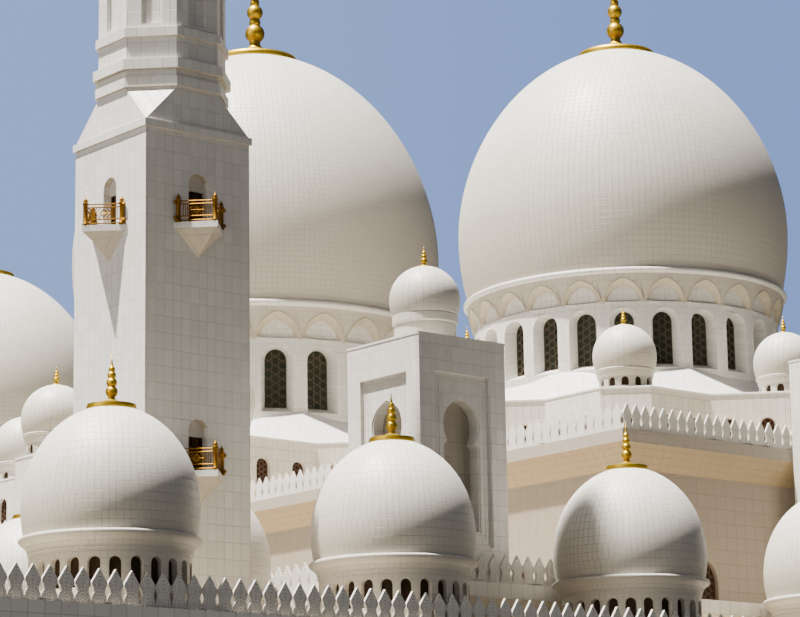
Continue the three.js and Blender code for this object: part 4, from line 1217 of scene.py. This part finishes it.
def parapets():
    inset = PARAPET_INSET + PARAPET_THICK / 2
    hx, hy = HALL_X + HALL_LEDGE - inset, HALL_Y + HALL_LEDGE - inset
    bx, by = BAY_X + HALL_LEDGE - inset, BAY_Y + HALL_LEDGE - inset
    hall = [(-hx, -hy), (hx, -hy), (hx, -by), (bx, -by), (bx, by), (hx, by),
            (hx, hy), (-hx, hy), (-hx, by), (-bx, by), (-bx, -by), (-hx, -by)]
    merlon_rows("hall_merlons", ring_runs(hall, HALL_TOP), HALL_MERLON, "hall_parapet")

    lx, ly = LOW_X + LOW_LEDGE - inset, LOW_Y + LOW_LEDGE - inset
    corners = [(x, y, LOW_TOP) for x, y in
               ((LOW_PARAPET_END, -ly), (-lx, -ly), (-lx, ly), (LOW_PARAPET_END, ly))]
    runs = zip(corners, corners[1:])
    merlon_rows("lower_hall_merlons", runs, LOW_MERLON, "lower_hall_parapet")

    z = ARCADE_TOP
    shaft_x = SHAFT_X - SHAFT_HALF - SHAFT_CLEARANCE
    shaft_y = SHAFT_Y - SHAFT_HALF - SHAFT_CLEARANCE
    end_x, back_x = ARCADE_END_X + inset, WING_BACK_X - inset
    for name, side in SIDES.items():
        out_y, in_y = side * (ARCADE_OUT_Y - inset), side * (WING_INNER_Y + inset)
        runs = [((end_x, out_y, z), (back_x, out_y, z)), ((end_x, in_y, z), (end_x, out_y, z)),
                ((end_x, in_y, z), (shaft_x, in_y, z))]
        merlon_rows(f"{name}_arcade_merlons", runs, ARCADE_MERLON, f"{name}_arcade_parapet")
    x = ARCADE_OUT_X + inset
    runs = [((x, -shaft_y, z), (x, shaft_y, z))]
    merlon_rows("court_arcade_merlons", runs, ARCADE_MERLON, "court_arcade_parapet")


# Windows of the prayer hall

def hall_window(sill):
    """Glass and lattice of one window, looking out along +X from the wall's outer face."""
    outline = arc_arch(HALL_WINDOW_HALF - BEVEL, sill + BEVEL, HALL_WINDOW_TOP - BEVEL,
                       centre_share=HALL_ARC_CENTRE)
    place = lambda across, up, depth: (-depth, across, up)
    glass, bars = Shell(), Shell()
    plate(glass, outline, place, 0.36, 0.42)
    lattice(bars, outline, place, 0.35, pitch=0.4, half_width=0.03)
    return glass, bars


def hall_windows():
    rows = [(i - 4.5) * HALL_WINDOW_PITCH for i in range(10)]
    rows = [y for y in rows if abs(y) > BAY_Y + 2]
    ends = [(i - 2) * HALL_END_PITCH for i in range(5)]
    front = [(-HALL_X, y, 0.0, math.pi, 1.0) for y in rows]
    front += [(x, side * HALL_Y, 0.0, side * math.pi / 2, 1.0) for x in ends for side in SIDES.values()]
    back = [(HALL_X, y, 0.0, 0.0, 1.0) for y in rows]
    panes, lattices = [], []
    for sill, places in ((HALL_WINDOW_SILL, front), (BACK_WINDOW_SILL, back)):
        glass, bars = hall_window(sill)
        panes.append(copies("panes", glass, places, pane))
        lattices.append(copies("bars", bars, places, frame_brown))
    piece(joined("hall_window_panes", panes), "dark_glass")
    piece(joined("hall_window_lattices", lattices), "gilded_metal")


# Portal towers

def tower_panel(foot, top, inset):
    """Outline of the sunk panel, drawn in by an inset."""
    return box_outline(PANEL_HALF - inset, foot + PANEL_RISE + inset, top - PANEL_DROP - inset)


def tower_face(foot, top):
    """One face of a tower, looking out along +X: sunk panel with a keyhole niche in it."""
    shell, back = Shell(), Shell()
    place = lambda across, up, depth: (TOWER_HALF - depth, across, up)
    slabs_at = slab_map(SLAB_WIDTH, SLAB_COURSE, 300)
    panel, inner = tower_panel(foot, top, 0.0), tower_panel(foot, top, BEVEL)
    niche = keyhole(foot + NICHE_RISE, top - NICHE_DROP)
    lip = keyhole(foot + NICHE_RISE - LIP_WIDTH, top - NICHE_DROP, LIP_WIDTH)
    filled(shell, box_outline(TOWER_HALF, foot, top), [panel], place, 0.0, slabs_at)
    opening(shell, panel, inner, place, 0.0, PANEL_DEPTH, slabs_at)
    filled(shell, inner, [lip], place, PANEL_DEPTH, slabs_at)
    opening(shell, lip, lip, place, PANEL_DEPTH, LIP_DEPTH, slabs_at)
    strip(shell, at_depth(lip, place, LIP_DEPTH), at_depth(niche, place, LIP_DEPTH),
          [slabs_at(*point) for point in lip], [slabs_at(*point) for point in niche])
    opening(shell, niche, niche, place, LIP_DEPTH, NICHE_DEPTH, slabs_at)
    filled(back, niche, [], place, NICHE_DEPTH, slabs_at)
    return shell, back


def carved_border(foot, top):
    """Lines of the beads that run round inside the panel."""
    lines = []
    for inset in (0.16, 0.42):
        corners = tower_panel(foot, top, BEVEL + inset)
        lines.append([(TOWER_HALF - PANEL_DEPTH + 0.005, x, z) for x, z in corners + corners[:1]])
    return lines


def tower_cap(x, y, top):
    """Plain drum with one raised band, and the small dome on it."""
    drum = [(0.0, 0.0), (1.84, 0.0), (1.84, 1.2), (1.88, 1.24), (1.94, 1.3), (1.94, 1.76), (1.9, 1.8),
            (0.0, 1.81)]
    dome = [(0.0, 1.79), *dome_line(TOWER_DOME, 1.79, 0.24)]
    return [turned("drum", drum, smooth_dome, SMALL_SEGMENTS, 0.42, (x, y, top)),
            turned("shell", dome, smooth_dome, SMALL_SEGMENTS, 0.42, (x, y, top), 60)]


def square_slab(x, y, half, low, high):
    shell = Shell()
    block(shell, x - half, x + half, y - half, y + half, low, high)
    return shell.body("slab", wall_marble)


def tower_stones(x, y, top):
    foot = LOW_TOP + 0.01
    places = turns_about(x, y, 0.0, 4)
    face, niche = tower_face(foot, top)
    border = bead("border", carved_border(foot, top), 0.022, drum_tiles, 4)
    return [copies("faces", face, places, tower_tiles),
            copies("niches", niche, places, niche_shade_stone),
            copies("beads", border, places, drum_tiles),
            square_slab(x, y, TOWER_HALF + 0.03, top - 0.12, top + 0.01),
            square_slab(x, y, TOWER_HALF + 0.02, foot, foot + 0.5),
            *tower_cap(x, y, top)]


def towers():
    for label, (x, out_y, top) in TOWERS.items():
        for name, side in SIDES.items():
            y = side * out_y
            body = joined(f"{name}_{label}_with_niches", tower_stones(x, y, top))
            piece(body, "wall_marble", f"{name}_{label}")
            centre = (x, y, top + TOWER_FINIAL_RISE)
            finial = turned(f"{name}_{label}_finial", SMALL_FINIAL, gold, 24, centre=centre, sharp=60)
            piece(finial, "gilded_metal")


# Minarets

RAIL_HEIGHTS = (0.1, 0.32, 0.98, 1.15)
BAR_SHARES = (0.13, 0.19, 0.25, 0.75, 0.81, 0.87)   # where bars stand along a side of the balustrade
# Eight-sided frame in the middle of each side: half width and half height, with their cut corners
FRAME_HALF, FRAME_CUT, FRAME_RISE, FRAME_CORNER = 0.42, 0.3, 0.33, 0.22
CURL = [(0.42, 0.0), (0.33, 0.13), (0.22, 0.17), (0.18, 0.24), (0.24, 0.3)]


def panel_lines():
    """Lines of the frame, cross, rings and curls in a balustrade's panel, as (across, up) points."""
    half, cut, rise, corner = FRAME_HALF, FRAME_CUT, FRAME_RISE, FRAME_CORNER
    frame_line = [(-half, -corner), (-cut, -rise), (cut, -rise), (half, -corner),
                  (half, corner), (cut, rise), (-cut, rise), (-half, corner), (-half, -corner)]
    lines = [frame_line, [(-half, 0.0), (half, 0.0)], [(0.0, -rise), (0.0, rise)]]
    for radius, sides in ((0.14, 10), (0.24, 4)):
        turns = [TURN * i / sides for i in range(sides + 1)]
        lines.append([(radius * math.cos(turn), radius * math.sin(turn)) for turn in turns])
    for side in (-1, 1):
        for flip in (-1, 1):
            lines.append([(side * across, flip * up) for across, up in CURL])
    return lines


def balustrade():
    """Gilded balustrade of one balcony, looking out along +X from the shaft's axis."""
    wall = SHAFT_HALF + 0.16
    foot_y = BALCONY_HALF - 0.2
    corners = [(wall, -foot_y), (SHAFT_HALF + BALCONY_REACH - 0.22, 0.0), (wall, foot_y)]
    post = [(0.0, 0.0), (0.16, 0.0), (0.18, 0.06), (0.16, 0.12), (0.13, 0.16), (0.13, 1.12), (0.17, 1.16),
            (0.17, 1.22), (0.1, 1.27), (0.13, 1.34), (0.1, 1.42), (0.04, 1.5), (0.0, 1.62)]
    knob = [(0.0, -0.12), (0.08, -0.09), (0.12, 0.0), (0.08, 0.09), (0.0, 0.12)]
    parts = [turned("post", post, rail_gold, 10, centre=(x, y, 0.0)) for x, y in corners]
    for x, y in (corners[0], corners[2]):
        for z in (0.22, 1.08):
            parts.append(turned("knob", knob, rail_gold, 10, centre=(x, y * 1.13, z)))
    rails, bars = [], []
    for start, end in zip(corners, corners[1:]):
        a, b = Vector((*start, 0)), Vector((*end, 0))
        along = (b - a).normalized()
        at = lambda share, z: a.lerp(b, share) + Vector((0, 0, z))
        rails += [[at(0, z), at(1, z)] for z in RAIL_HEIGHTS]
        bars += [[at(share, RAIL_HEIGHTS[1]), at(share, RAIL_HEIGHTS[2])] for share in BAR_SHARES]
        middle = at(0.5, (RAIL_HEIGHTS[1] + RAIL_HEIGHTS[2]) / 2)
        for line in panel_lines():
            bars.append([middle + along * across + Vector((0, 0, up)) for across, up in line])
    parts.append(bead("rails", rails, 0.036, rail_gold, 8))
    parts.append(bead("bars", bars, 0.024, rail_gold, 5))
    return joined("balustrade", parts)


def balcony_door():
    """Tympanum in the arch head and the leaf below it, looking out along +X from the shaft's axis."""
    gap = 0.006
    half = BALCONY_DOOR_HALF - gap
    spring = BALCONY_DOOR_TOP - BALCONY_DOOR_HALF
    head, leaf = Shell(), Shell()
    place = lambda across, up, depth: (SHAFT_HALF - depth, across, up)
    plate(head, round_arch(half, DOOR_LEAF_TOP, BALCONY_DOOR_TOP - gap, 12), place, 0.34, 0.5)
    back = SHAFT_HALF - 0.55
    block(leaf, back - 0.06, back, -half, half, 0.01, spring)
    for across in (-half + 0.07, 0.0, half - 0.07):
        block(leaf, back, back + 0.05, across - 0.06, across + 0.06, 0.02, spring - 0.01)
    for up in (0.12, 0.85, 1.5, spring - 0.1):
        block(leaf, back, back + 0.03, -half + 0.02, half - 0.02, up - 0.08, up + 0.08)
    return head.body("head", smooth_dome), leaf.body("leaf", door_brown)


def stage_line():
    """Outline of the round stage: foot, courses, corbelled gallery, lantern core and its dome."""
    shaft, deck, core, eaves = 2.5, DECK_RISE, 1.35, 28.35
    line = [(0.0, 0.0), (2.8, 0.0), (2.85, 0.15), (2.8, 0.75), (2.62, 0.85), (2.6, 1.0), (shaft, 1.1)]
    line += [(shaft, 1.2 + 0.9 * i) for i in range(19)]
    for step in range(4):
        low, out = 18.6 + step * 0.5, shaft + step * 0.24
        line += [(out, low), (out + 0.06, low + 0.04), (out + 0.2, low + 0.4), (out + 0.22, low + 0.5)]
    line += [(3.4, 20.7), (3.45, 20.8), (3.45, 21.9), (3.38, deck), (core, deck), (core, 27.3), (2.0, 27.3),
             (2.06, 27.4), (2.06, 28.2), (1.98, 28.3), (1.8, eaves)]
    return line + dome_line(LANTERN_DOME, eaves, 0.3)


def round_stage(name, x, y):
    """Upper round stage with a corbelled gallery, an open lantern and its dome."""
    deck = OCTAGON_TOP + DECK_RISE
    column = [(0.0, 0.0), (0.24, 0.0), (0.24, 0.2), (0.17, 0.3), (0.15, 4.4), (0.22, 4.6), (0.25, 4.8),
              (0.0, 4.8)]
    band = [(1.5, 4.8), (1.96, 4.8), (2.0, 4.86), (2.0, 5.3), (1.5, 5.3), (1.5, 4.8)]
    baluster = [(0.0, 0.0), (0.09, 0.0), (0.06, 0.2), (0.1, 0.45), (0.05, 0.8), (0.09, 0.95), (0.0, 0.95)]
    rail = [(3.1, 0.95), (3.3, 0.95), (3.33, 1.02), (3.3, 1.12), (3.1, 1.12), (3.07, 1.02), (3.1, 0.95)]
    around = [(px, py, deck + 0.01, angle, 1.0) for px, py, angle in circle(x, y, COLUMN_RING, 8, 0.5)]
    rail_places = [(px, py, deck, angle, 1.0) for px, py, angle in circle(x, y, RAIL_RING, 40)]
    parts = [
        turned("stage", stage_line(), drum_tiles, 48, 0.7, (x, y, OCTAGON_TOP + 0.01)),
        copies("columns", turned("post", column, drum_tiles, 12), around, drum_tiles, 40),
        turned("band", band, drum_tiles, centre=(x, y, deck)),
        copies("balusters", turned("post", baluster, drum_tiles, 6), rail_places, drum_tiles, 40),
        turned("rail", rail, drum_tiles, centre=(x, y, deck))]
    body = joined(f"{name}_minaret_round_stage_with_lantern", parts)
    piece(body, "wall_marble", f"{name}_minaret_round_stage")


def gallery_merlons(name, x, y):
    reach = (OCTAGON_HALF + GALLERY_REACH) / math.cos(math.pi / 8)
    corners = [(px, py) for px, py, _ in circle(x, y, reach, 8, 0.5)]
    runs = ring_runs(corners, OCTAGON_TOP)
    merlon_rows(f"{name}_minaret_gallery_merlons", runs, GALLERY_MERLON)


def minarets():
    balcony = balustrade()
    head, leaf = balcony_door()
    for name, side in SIDES.items():
        places = []
        for floor_z in BALCONY_FLOORS:
            places += turns_about(SHAFT_X, side * SHAFT_Y, floor_z, 4)
        rails = copies(f"{name}_minaret_balustrades", duplicate(balcony), places, rail_gold, 45)
        piece(rails, "gilded_metal")
        piece(copies(f"{name}_balcony_door_heads", duplicate(head), places, smooth_dome), "wall_marble")
        piece(copies(f"{name}_balcony_doors", duplicate(leaf), places, door_brown), "gilded_metal")
    discard(balcony, head, leaf)
    for name, side in SIDES.items():
        x, y = SHAFT_X, side * SHAFT_Y
        round_stage(name, x, y)
        gallery_merlons(name, x, y)
        spire_foot = (x, y, LANTERN_TOP + 0.01)
        spire = turned(f"{name}_minaret_spire", SPIRE, gold, 32, centre=spire_foot, sharp=60)
        piece(spire, "gilded_metal", f"{name}_minaret_finial")


# Finishes of the plain solids that stay

def dress_solids():
    looks = {
        "ground_floor": floor_stone,
        "hall_window_glass": pane,
        "hall_roof": flat_roof,
        "lower_hall_roof": flat_roof,
        "hall_cornice": cornice_shaded_marble,
    }
    for name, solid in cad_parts.items():
        if name in looks:
            material = looks[name]
        elif name.startswith(("hall_", "lower_hall", "right_lower", "left_lower")):
            material = hall_marble
        else:
            material = wall_marble
        solid.data.materials.clear()
        solid.data.materials.append(material)


# Camera, light and floor

CAMERA_AT = (-142.36, -191.51, 1.6)
CAMERA_YAW, CAMERA_PITCH, CAMERA_ROLL = math.radians(39.73), math.radians(12.17), math.radians(-0.92)
FOCAL_PIXELS, PHOTO_WIDTH, SENSOR = 2713.0, 800.0, 36.0
SUN_POWER, SUN_SPREAD, SUN_COLOUR, SUN_RAYS = 19.0, 1.5, (1.0, 0.955, 0.885), (1.66, -0.62, -5.5)
FILL_POWER, FILL_SPREAD, FILL_COLOUR, FILL_RAYS = 1.5, 45.0, (1.0, 0.96, 0.9), (1.0, -0.08, -0.12)
ROOM_LIGHT, BACKDROP_LEFT, BACKDROP_RIGHT = paint(
    (0.084, 0.096, 0.122), (0.335, 0.49, 0.92), (0.255, 0.40, 0.84))
BACKDROP_REACH = 0.15            # sideways share of the view direction at the picture's edges
FLOOR_LIGHT, FLOOR_DARK = paint((0.040, 0.038, 0.034), (0.035, 0.033, 0.030))
FLOOR_REACH, FLOOR_Z = 60.0, -0.002   # in model metres


def camera():
    lens = bpy.data.cameras.new("camera")
    lens.sensor_width = SENSOR
    lens.lens = FOCAL_PIXELS / PHOTO_WIDTH * SENSOR
    lens.clip_end = 500
    lens.clip_start = 0.1
    right = Vector((math.cos(CAMERA_YAW), -math.sin(CAMERA_YAW), 0))
    ahead = Vector((math.sin(CAMERA_YAW), math.cos(CAMERA_YAW), 0))
    up = Vector((0, 0, 1))
    forward = math.cos(CAMERA_PITCH) * ahead + math.sin(CAMERA_PITCH) * up
    lifted = -math.sin(CAMERA_PITCH) * ahead + math.cos(CAMERA_PITCH) * up
    across = math.cos(CAMERA_ROLL) * right + math.sin(CAMERA_ROLL) * lifted
    upward = -math.sin(CAMERA_ROLL) * right + math.cos(CAMERA_ROLL) * lifted
    turn = Matrix((across, upward, -forward)).transposed()
    eye = link("camera", lens)
    eye.matrix_world = Matrix.Translation(Vector(CAMERA_AT) * MODEL) @ turn.to_4x4()
    scene.camera = eye


def sun_lamp(name, power, spread, colour, rays):
    sun = bpy.data.lights.new(name, "SUN")
    sun.energy = power
    sun.angle = math.radians(spread)
    sun.color = colour
    link(name, sun).rotation_euler = Vector(rays).to_track_quat("-Z", "Y").to_euler()


def lights():
    sun_lamp("key_light", SUN_POWER, SUN_SPREAD, SUN_COLOUR, SUN_RAYS)
    sun_lamp("soft_fill", FILL_POWER, FILL_SPREAD, FILL_COLOUR, FILL_RAYS)
    world = bpy.data.worlds.new("soft_room")
    world.use_nodes = True
    bench = Bench(world.node_tree)
    x, y, _ = bench.coordinate("Generated").parts()
    sideways = x * math.cos(CAMERA_YAW) - y * math.sin(CAMERA_YAW)
    share = bench.smooth(sideways, -BACKDROP_REACH, BACKDROP_REACH)
    backdrop = bench.blend(share, BACKDROP_LEFT, BACKDROP_RIGHT)
    seen = bench.add("ShaderNodeLightPath").of("Is Camera Ray")
    background = world.node_tree.nodes["Background"]
    bench.feed(background.inputs["Color"], bench.blend(seen, ROOM_LIGHT, backdrop))
    scene.world = world


def floor():
    mesh = bpy.data.meshes.new("floor")
    corners = [(x, y, FLOOR_Z) for x, y in box_outline(FLOOR_REACH, -FLOOR_REACH, FLOOR_REACH)]
    mesh.from_pydata(corners, [], [(0, 1, 2, 3)])
    material, shader, bench = finish("pale_floor")
    cloud = bench.noise(bench.coordinate("Object"), 0.3)
    dress(bench, shader, bench.blend(cloud, FLOOR_DARK, FLOOR_LIGHT), 0.8, cloud, 0.001)
    mesh.materials.append(material)
    link("floor", mesh)


for dome_name, dome in DOMES.items():
    great_dome(dome_name, **dome)
    great_drum(dome_name, **dome)
    star_tier(dome_name, **dome)
tier_roofs_and_small_domes()
towers()
arcade_roof()
parapets()
hall_windows()
minarets()
dress_solids()
camera()
lights()
floor()
